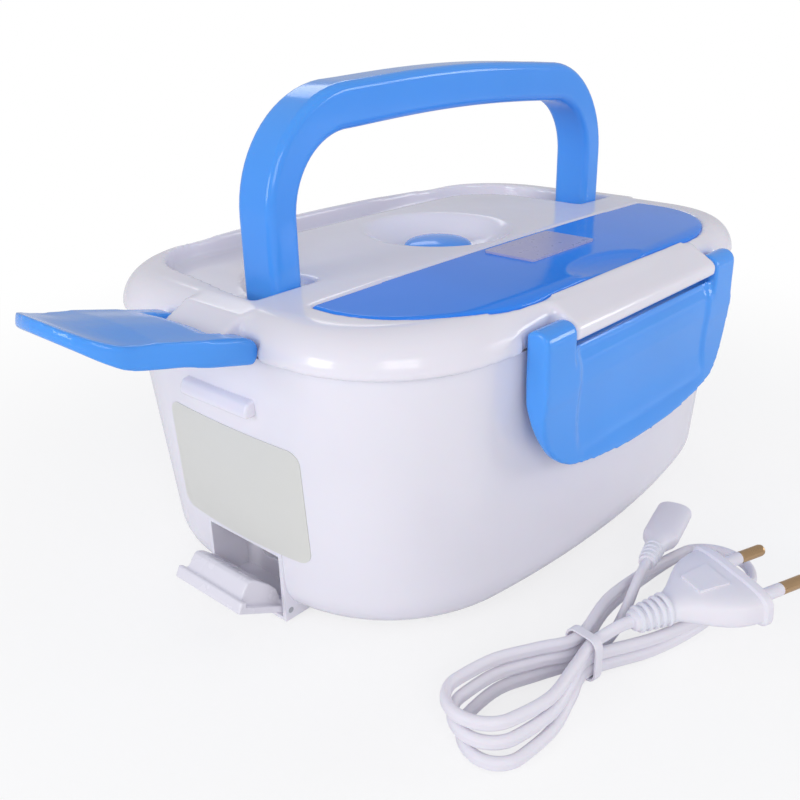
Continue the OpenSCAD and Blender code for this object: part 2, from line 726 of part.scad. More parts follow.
// Plan of the spoon compartment, drawn in by a margin
function cover_left(m) =
    ellipse_pts([cover_corner[0] - cover_half_l, cover_side_y], cover_corner[0] - m,
                cover_front_y + cover_side_y - m, 180, 270, 10);
module cover_prism(m, low_z, top_z) {
    translate([0, 0, low_z]) linear_extrude(top_z - low_z)
        polygon(concat([[m - cover_half_l, -cover_back_y - m]], cover_left(m),
                       flip_x(cover_left(m)), [[cover_half_l - m, -cover_back_y - m]]));
}

// Lid
long_arm_in = long_latch_half - latch_arm_w;
short_arm_in = short_latch_half - short_arm_w;
module on_side(angle, pivot) {
    rotate([0, 0, angle]) translate([0, pivot, latch_pivot_z]) children();
}
// What each latch turns on: blocks with peg bores, and pads behind the notches for its arms
module hinge_block(half) {
    low = skirt_z - latch_pivot_z + 0.7;
    difference() {
        across_x(-half, half)
            polygon(concat([[-13.8, 8.6], [-notch_in - 1, low], [2.9, low]],
                           [for (a = [-30:15:45]) block_r * [cos(a), sin(a)]],
                           [[-0.8, 5.2], [-notch_in - 1, 8], [-13.8, 9.3]]));
        for (s = [0, 180]) rotate([0, 0, s])
            rod_x(half - peg_l - 0.6, half + 1, [0, 0], latch_peg_r + pin_gap);
    }
}
module notch_pad(half) {
    block([-half - 2.2, -notch_in - pad_t, skirt_z + 0.2 - latch_pivot_z], [half + 2.2, 6, 7]);
}
module arm_notches(half, arm_in) {
    for (s = [0, 1]) mirror([s, 0, 0])
        block([arm_in - fit_gap, -notch_in, -12], [half + 0.6, 30, latch_top_r + 0.5]);
}
module handle_bosses() {
    for (s = [0, 1]) mirror([s, 0, 0])
        rod_x(handle_half_in - 11, handle_half_in - fit_gap, [handle_pivot[1], handle_pivot[2]], handle_boss_r);
}
module lid_solids() {
    difference() {
        block([-lid_half_l - 15, -lid_half_w - 10, skirt_z], [lid_half_l + 15, lid_half_w + 10, over_lid_z]);
        skin(lid_rings(lid_wall, skirt_z - lead_in));
    }
    for (s = [0, 180]) on_side(s, long_pivot) notch_pad(long_latch_half);
    for (s = [90, 270]) on_side(s, short_pivot) notch_pad(short_latch_half);
    pocket_space(pocket_wall, pocket_drop + pocket_floor_t);
    cover_prism(seat_w - shell_floor_t, spoon_floor_z - shell_floor_t, over_lid_z - 2);
    cover_prism(-0.8, spoon_floor_z + 5, over_lid_z - 2);
    translate([0, vent_y, vent_floor_z - shell_floor_t])
        cylinder(r1 = vent_floor_r + 2, r2 = vent_dish_r + 2.4, h = 9.5);
    for (x = [-97, -50, 50, 97]) translate([x, -16, liner_z + liner_t]) cylinder(r = 3, h = 17);
    for (x = [-40, 40]) translate([x, 36, liner_z + liner_t]) cylinder(r = 3, h = 17);
}
module lid_shell() {
    color(body_white) difference() {
        union() {
            intersection() {
                skin(lid_rings(0, skirt_z - 6));
                lid_solids();
            }
            for (s = [0, 180]) on_side(s, long_pivot) hinge_block(long_arm_in - 0.5);
            for (s = [90, 270]) on_side(s, short_pivot) hinge_block(short_arm_in - 0.5);
            handle_bosses();
        }
        for (s = [0, 180]) on_side(s, long_pivot) arm_notches(long_latch_half, long_arm_in);
        for (s = [90, 270]) on_side(s, short_pivot) arm_notches(short_latch_half, short_arm_in);
        difference() {
            pocket_space(0, pocket_drop);
            handle_bosses();
        }
        for (s = [0, 1]) mirror([s, 0, 0])
            rod_x(handle_half_in - 10, handle_half_in + 4, [handle_pivot[1], handle_pivot[2]], handle_pin_r);
        difference() {
            cover_prism(0, spoon_floor_z + 3, over_lid_z);
            translate([0, 0, -cover_t]) skin(lid_rings(0, skirt_z - 9));
        }
        cover_prism(seat_w, spoon_floor_z, over_lid_z);
        translate([0, vent_y, vent_floor_z])
            cylinder(r1 = vent_floor_r, r2 = vent_dish_r + 1.2, h = 9.4);
        translate([0, vent_y, liner_z - 6]) cylinder(r = vent_stem_r + fit_gap, h = 30);
    }
}
module lid_liner() {
    color([0.85, 0.86, 0.88]) difference() {
        union() {
            liner_slab(0, liner_z, liner_z + liner_t);
            difference() {
                liner_slab(0, liner_z, liner_rim_z);
                liner_slab(liner_wall, liner_z - 1, liner_rim_z + 1);
            }
        }
        translate([0, vent_y, liner_z - 6]) cylinder(r = vent_stem_r + 1, h = 10);
    }
}
module lid_seal() {
    color([0.93, 0.93, 0.9]) difference() {
        liner_slab(1, liner_z - seal_t, liner_z);
        liner_slab(4.6, liner_z - seal_t - 1, liner_z + 1);
    }
}
module handle_pins() {
    color(steel) for (s = [0, 1]) mirror([s, 0, 0])
        rod_x(handle_half_in - 9.8, handle_half_out - 1, [handle_pivot[1], handle_pivot[2]], handle_pin_r);
}
module vent_plug() {
    color(clip_blue) translate([0, vent_y, vent_floor_z + fit_gap]) {
        rotate_extrude($fn = 48)
            polygon([[0, 0], [vent_head_r - 1, 0], [vent_head_r, 1], [vent_head_r, 2.4],
                     [vent_head_r - 0.8, 3.8], [vent_head_r - 2.4, 4.6], [8.4, 4.9], [8, 4.2],
                     [7, 4.2], [6.6, 5], [0, 5.2]]);
        translate([0, 0, -11]) cylinder(r = vent_stem_r, h = 11.5);
    }
}
module spoon_cover() {
    color(clip_blue) difference() {
        intersection() {
            difference() {
                skin(lid_rings(0, skirt_z - 9));
                translate([0, 0, -cover_t]) skin(lid_rings(0, skirt_z - 10));
            }
            cover_prism(fit_gap, spoon_floor_z + 3, over_lid_z);
        }
        rod_x(-29, 21, [-60, lid_edge_z + 10.8], 10);
    }
}
module cover_label() {
    color([0.88, 0.89, 0.9]) intersection() {
        difference() {
            translate([0, 0, label_t]) skin(lid_rings(0, skirt_z));
            skin(lid_rings(0, skirt_z - 1));
        }
        block([-19, -cover_back_y - 24.5, skirt_z + 6.5], [19, -cover_back_y - 4, over_lid_z]);
    }
}
module spoon() {
    color(steel) translate([0, -spoon_y, spoon_floor_z + fit_gap]) {
        translate([17 - spoon_l / 2, 0, 0]) rotate_extrude($fn = 48)
            polygon([[0, 0], [6, 0.3], [11, 1.6], [15, 4.2], [17, 6.6], [16.2, 7.2], [14, 5],
                     [10.4, 2.6], [6, 1.3], [0, 1]]);
        translate([32.5 - spoon_l / 2, -3.5, 5]) cube([spoon_l - 37, 7, 1.6]);
        translate([spoon_l / 2 - 7, 0, 5]) cylinder(r = 7, h = 1.6);
    }
}

// Handle
function u_right(half, r, top) = concat(
    [[half, -handle_foot_r - 1]], ellipse_pts([half - r, top - r], r, r, 0, 84, 8),
    [[half * 0.3, top + handle_arch * 0.85], [0, top + handle_arch]]);
module u_plan(half, r, top) {
    polygon(concat(u_right(half, r, top), flip_x(u_right(half, r, top))));
}
module handle() {
    color(clip_blue) translate(handle_pivot) difference() {
        intersection() {
            rotate([90, 0, 0]) linear_extrude(handle_depth, center = true) difference() {
                u_plan(handle_half_out, handle_outer_r, handle_top);
                u_plan(handle_half_in, handle_corner_r, handle_reach);
            }
            union() {
                rod_x(-120, 120, [0, 0], handle_foot_r);
                block([-120, -handle_foot_r, 0], [120, handle_foot_r, 90]);
            }
        }
        rod_x(-120, 120, [0, 0], handle_pin_r + pin_gap);
    }
}

// Latches, drawn shut, each with its pivot at the origin and its outer face toward +Y.
// Their side profiles give [outward, up] from the pivot, down the face and up the back.
function latch_right_side(half, drop, rx, ry, rise, m) = concat(
    [[half - m, 9]],
    [for (a = [0:-11.25:-90]) [half - rx + (rx - m) * cos(a), ry + rise - drop + (ry - m) * sin(a)]],
    [[0, m - drop]]);
module latch_outline(half, drop, rx, ry, rise, m) {
    side = latch_right_side(half, drop, rx, ry, rise, m);
    polygon(concat(side, flip_x(side)));
}
module facing(low, high) {
    translate([0, high, 0]) rotate([90, 0, 0]) linear_extrude(high - low) children();
}
top_arc = [for (a = [16:18:142]) latch_top_r * [cos(a), sin(a)]];
module latch(half, drop, arm_in, rx, ry, rise, face, back, rim, hook_half) {
    intersection() {
        facing(-6, 14) latch_outline(half, drop, rx, ry, rise, 0);
        across_x(-half, half) polygon(concat([[latch_out, -flap_top_drop]], face, back,
                                             [[latch_out - latch_plate_t, -flap_top_drop]]));
    }
    intersection() {
        facing(-6, 14) difference() {
            latch_outline(half, drop, rx, ry, rise, 0);
            latch_outline(half, drop, rx, ry, rise, latch_wall_t);
        }
        across_x(-half, half) polygon(concat([[latch_out, 1 - arm_low]], face, rim,
                                             [[-latch_in, 1 - arm_low]]));
    }
    for (s = [0, 1]) mirror([s, 0, 0]) {
        across_x(arm_in, half)
            polygon(concat([[-latch_in, -arm_low], [latch_out, -arm_low], [latch_out, 0]], top_arc,
                           [[-latch_in, 2.6]]));
        rod_x(arm_in - peg_l, arm_in + 1, [0, 0], latch_peg_r);
    }
    across_x(-hook_half, hook_half)
        polygon([[-hook_tip, -hook_drop], [1.8, -hook_drop], [1.8, -hook_drop - 5],
                 [-hook_tip, -hook_drop - 1.6]]);
}
long_face = [[latch_out, -16.6], [4.0, -22], [3.8, -28], [4.2, -34], [5.3, -39.5],
             [7.6, -long_latch_drop]];
long_back = [[4.8, -long_latch_drop], [2.6, -39.5], [1.3, -34], [1.0, -28], [1.1, -22], [1.5, -16.6]];
long_rim = [[4.8, -long_latch_drop], [2.6, -39.5], [0.8, -31], [-3, -19]];
short_face = [[latch_out, -34], [4.9, -42], [6.4, -50], [9.4, -short_latch_drop]];
short_back = [[6.2, -short_latch_drop], [3.3, -50], [1.9, -42], [1.5, -34]];
short_rim = [[6.2, -short_latch_drop], [2.8, -50], [-0.8, -43], [-2.6, -37], [-2.6, -20]];
module long_latch() {
    color(clip_blue) latch(long_latch_half, long_latch_drop, long_arm_in, 21, 20, 3.4,
                           long_face, long_back, long_rim, 30);
}
module short_latch() {
    color(clip_blue) latch(short_latch_half, short_latch_drop, short_arm_in, 18, 18, 0.4,
                           short_face, short_back, short_rim, 12);
}
module latch_front() {
    on_side(180, long_pivot) long_latch();
}
module latch_back() {
    on_side(0, long_pivot) long_latch();
}
module latch_left() {
    on_side(90, short_pivot) rotate([left_latch_open, 0, 0]) short_latch();
}
module latch_right() {
    on_side(270, short_pivot) short_latch();
}

// Cord: each loop of the hank has 24 rings, from the waist to the left fold and back, then round the
// right fold, and comes down a layer along its run to the right.
function ease(t) = let (c = max(0, min(1, t))) c * c * (3 - 2 * c);
function spread(u) = u > 0
    ? hank_waist + (fold_right - hank_waist) * ease(u / 35)
    : hank_waist + (fold_left - hank_waist) * ease(-u / 25);
function swing(u, k) = u > 0
    ? swing_right[min(k, 1)] * pow(u / hank_right, 2)
    : swing_left[k] * pow(u / hank_left, 2);
function run_point(u, side, k, level) =
    [u, side * spread(u) + swing(u, k), hank_low + hank_step * level];
function fold_point(mid, r, a, k, level) =
    let (u = mid + r * cos(a)) [u, r * sin(a) + swing(u, k), hank_low + hank_step * level];
left_mid = fold_left - hank_left;
right_mid = hank_right - fold_right;
function hank_point(i) =
    let (k = floor(i / 24), j = i % 24)
    j < 3 ? run_point(left_mid * j / 3, -1, k, 2 - k)
    : j < 9 ? fold_point(left_mid, fold_left, 270 - 30 * (j - 3), k, 2 - k)
    : j < 12 ? run_point(left_mid * (12 - j) / 3, 1, k, 2 - k)
    : j < 15 ? run_point(right_mid * (j - 12) / 3, 1, k, 2 - k - ease((j - 12) / 3))
    : j < 21 ? fold_point(right_mid, fold_right, 90 - 30 * (j - 15), k, 1 - k)
    : run_point(right_mid * (24 - j) / 3, -1, k, 1 - k);
hank_pts = concat(lead_pts, [for (i = [0:60]) hank_point(i)], [[4, hank_waist, hank_low],
                  [8, hank_waist, hank_low]]);
fine_pts = [for (i = [0:len(hank_pts) - 2], f = [0:3])
    hank_pts[i] + (hank_pts[i + 1] - hank_pts[i]) * f / 4];
echo(hank_gap = min([for (i = [0:len(fine_pts) - 13], j = [i + 12:len(fine_pts) - 1])
    norm(fine_pts[i] - fine_pts[j])]) - cord_d);
module on_hank() {
    translate([hank_at[0], hank_at[1], 0]) rotate([0, 0, hank_turn]) children();
}
module cord_hank() {
    color([0.95, 0.95, 0.96]) on_hank() tube(hank_pts, cord_r, 6, [0, 0, 1]);
}
module cord_tail() {
    color([0.95, 0.95, 0.96]) on_hank() tube(tail_pts, cord_r, 8, [0, 0, 1]);
}
module cord_tie() {
    half = hank_waist + cord_r + 0.18 * tie_w + 0.2;
    top = hank_low + 2 * hank_step + cord_r + 0.6;
    color([0.95, 0.95, 0.96]) on_hank() difference() {
        block([-tie_w / 2, -half - tie_t, 0], [tie_w / 2, half + tie_t, top + tie_t]);
        block([-tie_w, -half, tie_t - 0.1], [tie_w, half, top]);
    }
}
// Plug and connector, each drawn along X from the end of its cord
module on_plug() {
    on_hank() translate(lead_pts[0]) rotate([0, -plug_rise, plug_turn]) children();
}
module plug() {
    color([0.95, 0.95, 0.96]) on_plug() intersection() {
        translate([0, 0, -8]) linear_extrude(16)
            polygon([[0, -5], [12, -5.2], [19, -8.5], [25, -13.5], [30, -16.5], [38, -17.6],
                     [38, 17.6], [30, 16.5], [25, 13.5], [19, 8.5], [12, 5.2], [0, 5]]);
        rotate([90, 0, 0]) linear_extrude(40, center = true)
            polygon([[0, -3.6], [12, -3.8], [23, -6.8], [38, -6.8], [38, 6.8], [23, 6.8],
                     [12, 3.8], [0, 3.6]]);
    }
}
module plug_pins() {
    color(steel) on_plug() for (s = [-1, 1]) rod_x(38, 57, [s * 9.3, 0], 2);
}
module connector() {
    color([0.95, 0.95, 0.96]) on_hank() translate(tail_pts[6]) rotate([0, 0, tail_turn]) {
        rotate([0, 90, 0]) cylinder(r1 = 2.8, r2 = 3.5, h = 14);
        difference() {
            union() {
                for (s = [-1, 1]) rod_x(13, 38, [s * 2.6, 0], 3.6);
                block([13, -2.6, -3.6], [38, 2.6, 3.6]);
            }
            for (s = [-1, 1]) rod_x(26, 39, [s * 2.6, 0], 1.3);
        }
    }
}

housing();
base_cover();
base_screws();
feet();
inner_tub();
tub_screws();
heating_plate();
heater_element();
heater_clamp();
clamp_screws();
thermostat();
thermal_fuse();
wiring();
inlet_cup();
inlet_socket();
inlet_pins();
flap_pin();
side_label();
inlet_flap();
food_tray();
side_box();
side_box_lid();
lid_shell();
lid_liner();
lid_seal();
handle_pins();
vent_plug();
spoon_cover();
cover_label();
spoon();
handle();
latch_front();
latch_back();
latch_left();
latch_right();
cord_hank();
cord_tail();
cord_tie();
plug();
plug_pins();
connector();
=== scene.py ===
import json
import math

import bmesh
import bpy
from mathutils import Matrix, Vector


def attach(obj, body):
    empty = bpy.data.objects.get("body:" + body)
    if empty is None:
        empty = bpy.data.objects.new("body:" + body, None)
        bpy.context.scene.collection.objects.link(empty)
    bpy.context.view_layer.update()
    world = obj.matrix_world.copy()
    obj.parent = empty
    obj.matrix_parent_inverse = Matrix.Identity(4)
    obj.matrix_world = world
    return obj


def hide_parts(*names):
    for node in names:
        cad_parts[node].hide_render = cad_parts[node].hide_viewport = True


bl_info = {
    "name": "Electric lunch box",
    "version": (1, 0, 0),
    "blender": (4, 5, 0),
    "location": "3D View > Sidebar > Lunch box",
    "description": "Dresses the packed model of an electric lunch box and lights it",
    "category": "Add Mesh",
}

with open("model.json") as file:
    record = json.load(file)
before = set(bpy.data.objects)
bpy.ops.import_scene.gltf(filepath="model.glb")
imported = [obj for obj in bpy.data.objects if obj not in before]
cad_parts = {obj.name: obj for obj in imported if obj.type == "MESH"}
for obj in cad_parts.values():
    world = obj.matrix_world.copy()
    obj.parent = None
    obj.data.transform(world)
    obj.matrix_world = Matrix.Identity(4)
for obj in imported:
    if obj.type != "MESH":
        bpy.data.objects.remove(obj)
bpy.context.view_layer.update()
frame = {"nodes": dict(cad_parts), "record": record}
NODES = frame["nodes"]

# Sizes below are in millimetres, as in the part's source, and meshes are made in metres.
MM = 0.001
# A plan is a half length, a half width and the radius of the corners.
LID_PLAN, BODY_PLAN, BASE_PLAN = (115, 79.7, 43), (112.3, 77.2, 42), (92.5, 58.6, 37.8)
BODY_TAPER = (-1.6, -0.4, 14)
WALL, FOOT_ROUND = 2.2, 15
SKIRT_Z = 91.5
EDGE_Z = 103.2
ROUND_W, ROUND_H, CROWN = 12.0, 11.4, 1.8
FOOT_Z, BODY_Z = 16.2, 91.2
LONG_BOW, END_BOW, END_STEPS = 4.5, 1.0, 8
HANDLE_PIVOT, HANDLE_HALF_DEPTH = (0.0, 1.6, 98.5), 8
# Half width, radius of the corners and height over the pivot
HANDLE_INNER, HANDLE_OUTER = (81, 24, 49.3), (92.6, 38, 63.6)
POCKET_GAP, POCKET_FALL = 0.4, math.radians(6)
LATCH_PIVOT_Z = 94.6
LONG_HALF, LONG_PIVOT, LONG_ARM = 62.0, 79.8, 46.5
SHORT_HALF, SHORT_PIVOT, SHORT_ARM = 22.0, 117.0, 14.0
OPEN_ANGLE = 103
FLAP_PIN, FLAP_ANGLE = (-108, -2, 4.2), -63
VENT_AT = (0, 8)
COVER_DROP = 2.2
COVER_CORNER = (48.0, 43.2)
COVER_SIDE_Y = -30.0
# Width, height and radius of the corners
STICKER, STICKER_AT, STICKER_LEAN = (61, 38.6, 4.2), (-2, 45.8), 0.018
COVER_LABEL, COVER_LABEL_Y = (38, 20.5, 1.2), -38.75
HANK_AT, HANK_TURN = (-70.0, -106.0), -9.0
CAMERA_AT = (-262.731, -214.202, 182.379)
CAMERA_AXES = (Vector((0.64658659, -0.76280653, -0.00720986)),
               Vector((0.30098252, 0.24641797, 0.92124248)),
               Vector((-0.70095314, -0.59783307, 0.38892199)))
SENSOR, LENS, SHIFT = 36, 41.11, (-0.0444, -0.0095)
LAMPS_AIM = Vector((0, 0, 0.07))
# Name, place in metres, width, height, power in watts, and panes along each side
LAMPS = (("window", (0.95, -0.95, 0.34), 0.5, 0.36, 3.2, 2),
         ("front", (-0.75, -0.9, 0.6), 0.6, 0.5, 3.6, 2),
         ("side", (-1.3, 0.25, 0.45), 0.5, 0.5, 4.2, 1),
         ("back", (0.7, 1.0, 0.9), 0.7, 0.4, 1.4, 1))


# Shapes

def ease(t):
    """Rises from 0 to 1 between those values of t, level at both ends."""
    c = max(0.0, min(1.0, t))
    return c * c * (3 - 2 * c)


def arc(centre, radius, start, end, count):
    """Points along an arc in degrees, without the last one."""
    turns = [math.radians(start + (end - start) * i / count) for i in range(count)]
    return [(centre[0] + radius * math.cos(t), centre[1] + radius * math.sin(t)) for t in turns]


def ellipse(centre, wide, deep, start, end, count):
    """Points along an elliptic arc in degrees, with the last one."""
    turns = [math.radians(start + (end - start) * i / count) for i in range(count + 1)]
    return [(centre[0] + wide * math.cos(t), centre[1] + deep * math.sin(t)) for t in turns]


def mirrored(right):
    """A line drawn from its end on the right to the middle, followed by its mirror image."""
    return right + [(-x, y) for x, y in reversed(right)][1:]


def smooth_line(points, steps=6):
    """A curve through points, for a profile without kinks."""
    line = []
    for i in range(len(points) - 1):
        p0, p1 = points[max(i - 1, 0)], points[i]
        p2, p3 = points[i + 1], points[min(i + 2, len(points) - 1)]
        for k in range(steps):
            t = k / steps
            line.append(tuple(
                0.5 * (2 * b + (c - a) * t + (2 * a - 5 * b + 4 * c - d) * t * t
                       + (3 * b - a - 3 * c + d) * t ** 3)
                for a, b, c, d in zip(p0, p1, p2, p3)))
    return line + [tuple(points[-1])]


def bulging(a, b, r):
    """The box's outline: four corners joined by wide arcs that meet them without a kink."""
    cx, cy = a - r - END_BOW, b - r - LONG_BOW
    big = (cx * cx + (b - cy) ** 2 - r * r) / (2 * (b - cy - r))
    end = (cy * cy + (a - cx) ** 2 - r * r) / (2 * (a - cx - r))
    t_long = math.degrees(math.atan2(cx, cy - b + big))
    t_end = math.degrees(math.atan2(cy, cx - a + end))
    half = (arc((cx, cy), r, t_end, 90 - t_long, 16)
            + arc((0, b - big), big, 90 - t_long, 90 + t_long, 14)
            + arc((-cx, cy), r, 90 + t_long, 180 - t_end, 16)
            + arc((end - a, 0), end, 180 - t_end, 180 + t_end, END_STEPS))
    return half + [(-x, -y) for x, y in half]


def lid_top(x):
    return EDGE_Z + CROWN * (1 - (x / LID_PLAN[0]) ** 2)


def lid_outline(inset):
    return bulging(*(measure - inset for measure in LID_PLAN))


def lid_rings(low_z):
    """The lid's outline at its lower edge, and again up its round edge to the top."""
    rings, steps = [[(x, y, low_z) for x, y in lid_outline(0)]], 14
    for i in range(steps + 1):
        t = math.pi / 2 * i / steps
        rings.append([(x, y, EDGE_Z - ROUND_H + (ROUND_H + lid_top(x) - EDGE_Z) * math.sin(t))
                      for x, y in lid_outline(ROUND_W * (1 - math.cos(t)))])
    return rings


def body_outline(z, inset):
    f = (BODY_Z - z) / (BODY_Z - FOOT_Z)
    return bulging(*(measure + taper * f - inset
                     for measure, taper in zip(BODY_PLAN, BODY_TAPER)))


def body_rings(depth, top_z):
    """The body's outline up its round foot and its side, at a depth below the surface."""
    rings, radius = [], FOOT_ROUND - depth
    for angle in range(90, -9, -9):
        t = math.radians(angle)
        ring = body_outline(FOOT_Z, depth + radius * (1 - math.cos(t)))
        rings.append([(x, y, FOOT_Z - radius * math.sin(t)) for x, y in ring])
    for z in (25, 34, 43, 53, 63, 73, 82):
        rings.append([(x, y, z) for x, y in body_outline(z, depth)])
    rings.append([(x, y, top_z) for x, y in body_outline(BODY_Z, depth)])
    return rings


# Meshes

def linked(name, data):
    """A new object in the scene."""
    thing = bpy.data.objects.new(name, data)
    bpy.context.scene.collection.objects.link(thing)
    return thing


def object_of(bm, name):
    bmesh.ops.remove_doubles(bm, verts=bm.verts, dist=1e-6)
    bmesh.ops.recalc_face_normals(bm, faces=bm.faces)
    mesh = bpy.data.meshes.new(name)
    bm.to_mesh(mesh)
    bm.free()
    return linked(name, mesh)


def of_faces(name, points, faces, place=None):
    bm = bmesh.new()
    verts = [bm.verts.new(Vector(p) * MM) for p in points]
    for f in faces:
        bm.faces.new([verts[i] for i in f])
    if place is not None:
        bmesh.ops.transform(bm, matrix=place, verts=bm.verts)
    return object_of(bm, name)


def walls(count, n):
    """Faces between rings of n points that are listed one ring after the other."""
    return [[i * n + j, i * n + (j + 1) % n, (i + 1) * n + (j + 1) % n, (i + 1) * n + j]
            for i in range(count - 1) for j in range(n)]


def skin(name, rings, short=END_STEPS):
    """Closed solid through rings listed upward, whose top is closed by strips across the width."""
    n = len(rings[0])
    faces = [list(range(n - 1, -1, -1))] + walls(len(rings), n)
    last, tip = (len(rings) - 1) * n, n - short // 2
    for k in range(n // 2):
        r0, r1 = last + (tip - k) % n, last + (tip - k - 1) % n
        l0, l1 = last + (tip + k) % n, last + (tip + k + 1) % n
        strip = [r0, r1, l1, l0]
        faces.append([v for i, v in enumerate(strip) if v not in strip[:i]])
    return of_faces(name, [p for ring in rings for p in ring], faces)


def tube(name, rings, place=None):
    """Solid through rings of points, with a flat face at each end."""
    count, n = len(rings), len(rings[0])
    faces = [list(range(n - 1, -1, -1)), list(range((count - 1) * n, count * n))]
    return of_faces(name, [p for ring in rings for p in ring], faces + walls(count, n), place)


def prism(name, plan, low, high):
    """Solid over a plan. low and high are heights, or functions of x and y."""
    return tube(name, [[(x, y, z(x, y) if callable(z) else z) for x, y in plan]
                       for z in (low, high)])


def across(name, profile, x0, x1):
    """Solid of a profile drawn in y and z that stands across X."""
    return tube(name, [[(x, y, z) for y, z in profile] for x in (x0, x1)])


def facing(name, profile, y0, y1):
    """Solid of a profile drawn in x and z that stands across Y."""
    return tube(name, [[(x, y, z) for x, z in profile] for y in (y0, y1)])


def block(name, low, high):
    x0, y0, z0 = low
    x1, y1, z1 = high
    return prism(name, [(x0, y0), (x1, y0), (x1, y1), (x0, y1)], z0, z1)


def rod(name, x0, x1, y, z, radius, sides=40):
    return across(name, arc((y, z), radius, 0, 360, sides), x0, x1)


def turned(name, profile, centre, sides=96):
    """Solid of revolution about the vertical through centre, from (radius, height) pairs upward."""
    return tube(name, [[(x, y, z) for x, y in arc(centre, radius, 0, 360, sides)]
                       for radius, z in profile])


def loft(name, sections, place=None, sides=48):
    """Closed solid along X. A section is (x, half width in y, half height in z, roundness)."""
    def rounded(value, power):
        return math.copysign(abs(value) ** power, value)

    circle = arc((0, 0), 1, 0, 360, sides)
    return tube(name, [[(x, half_y * rounded(c, power), half_z * rounded(s, power))
                        for c, s in circle] for x, half_y, half_z, power in sections], place)


def settled(thing):
    """The object with its modifiers applied."""
    graph = bpy.context.evaluated_depsgraph_get()
    mesh = bpy.data.meshes.new_from_object(thing.evaluated_get(graph))
    old = thing.data
    thing.modifiers.clear()
    thing.data = mesh
    bpy.data.meshes.remove(old)
    mesh.name = thing.name
    return thing


def combine(thing, tools, how):
    for tool in tools:
        modifier = thing.modifiers.new("shape", "BOOLEAN")
        modifier.operation = how
        modifier.solver = "EXACT"
        modifier.object = tool
        settled(thing)
        bpy.data.objects.remove(tool)
    if not thing.data.polygons:
        raise RuntimeError(f"{thing.name} came out empty")
    return thing


def cut(thing, *tools):
    return combine(thing, tools, "DIFFERENCE")


def joined(thing, *tools):
    return combine(thing, tools, "UNION")


def common(thing, *tools):
    return combine(thing, tools, "INTERSECT")


def moulded(thing, voxel, passes):
    """Rounds every edge as a mould does: an even mesh over the shape, then a few soft passes."""
    remesh = thing.modifiers.new("even", "REMESH")
    remesh.mode = "VOXEL"
    remesh.voxel_size = voxel * MM
    remesh.use_smooth_shade = True
    soften = thing.modifiers.new("soft", "SMOOTH")
    soften.factor = 0.5
    soften.iterations = passes
    settled(thing)
    thing.data.shade_smooth()
    return thing


def crisp(thing, angle, bevel=0.0):
    """Smooth faces between edges sharper than an angle, which may get a small rounding."""
    if bevel:
        rounding = thing.modifiers.new("edge", "BEVEL")
        rounding.width = bevel * MM
        rounding.segments = 2
        rounding.limit_method = "ANGLE"
        rounding.angle_limit = math.radians(angle)
        rounding.harden_normals = False
        settled(thing)
    bm = bmesh.new()
    bm.from_mesh(thing.data)
    for face in bm.faces:
        face.smooth = True
    for edge in bm.edges:
        edge.smooth = len(edge.link_faces) == 2 and edge.calc_face_angle(0) < math.radians(angle)
    bm.to_mesh(thing.data)
    bm.free()
    weigh = thing.modifiers.new("even light", "WEIGHTED_NORMAL")
    weigh.keep_sharp = True
    return settled(thing)


def from_node(name, node):
    """A merged copy of a CAD node's mesh, with flat regions in one face each."""
    mesh = NODES[node].data.copy()
    mesh.materials.clear()
    bm = bmesh.new()
    bm.from_mesh(mesh)
    bmesh.ops.remove_doubles(bm, verts=bm.verts, dist=2e-6)
    bmesh.ops.dissolve_limit(bm, angle_limit=math.radians(0.4), verts=bm.verts, edges=bm.edges)
    bm.to_mesh(mesh)
    bm.free()
    return linked(name, mesh)


def duplicate(thing, name, place):
    mesh = thing.data.copy()
    mesh.transform(place)
    return linked(name, mesh)


def at(x, y, z):
    return Matrix.Translation((x * MM, y * MM, z * MM))


def turn(angle, axis="Z"):
    return Matrix.Rotation(math.radians(angle), 4, axis)


def placed(thing, place):
    thing.data.transform(place)
    return thing


def with_meshes(thing, *others):
    """Adds the meshes of other solids to a thing. They may overlap, as the remesh joins them."""
    bm = bmesh.new()
    bm.from_mesh(thing.data)
    for other in others:
        bm.from_mesh(other.data)
        bpy.data.objects.remove(other)
    bm.to_mesh(thing.data)
    bm.free()
    return thing


def line_object(name, points):
    mesh = bpy.data.meshes.new(name)
    mesh.from_pydata([tuple(p) for p in points], [(i, i + 1) for i in range(len(points) - 1)], [])
    return linked(name, mesh)


# Finishes

def feed(tree, node, values):
    """Sets a node's inputs, each to a value or by a link from another node's output."""
    for name, value in values.items():
        if isinstance(value, bpy.types.NodeSocket):
            tree.links.new(value, node.inputs[name])
        else:
            node.inputs[name].default_value = value
    return node


def add(tree, kind, values, out=0):
    """Output of a new node with its inputs set."""
    return feed(tree, tree.nodes.new(kind), values).outputs[out]


def calculated(tree, operation, *values):
    node = tree.nodes.new("ShaderNodeMath")
    node.operation = operation
    return feed(tree, node, dict(enumerate(values))).outputs["Value"]


def noise(tree, place, scale, detail=2.0):
    return add(tree, "ShaderNodeTexNoise", {"Vector": place, "Scale": scale, "Detail": detail},
               "Fac")


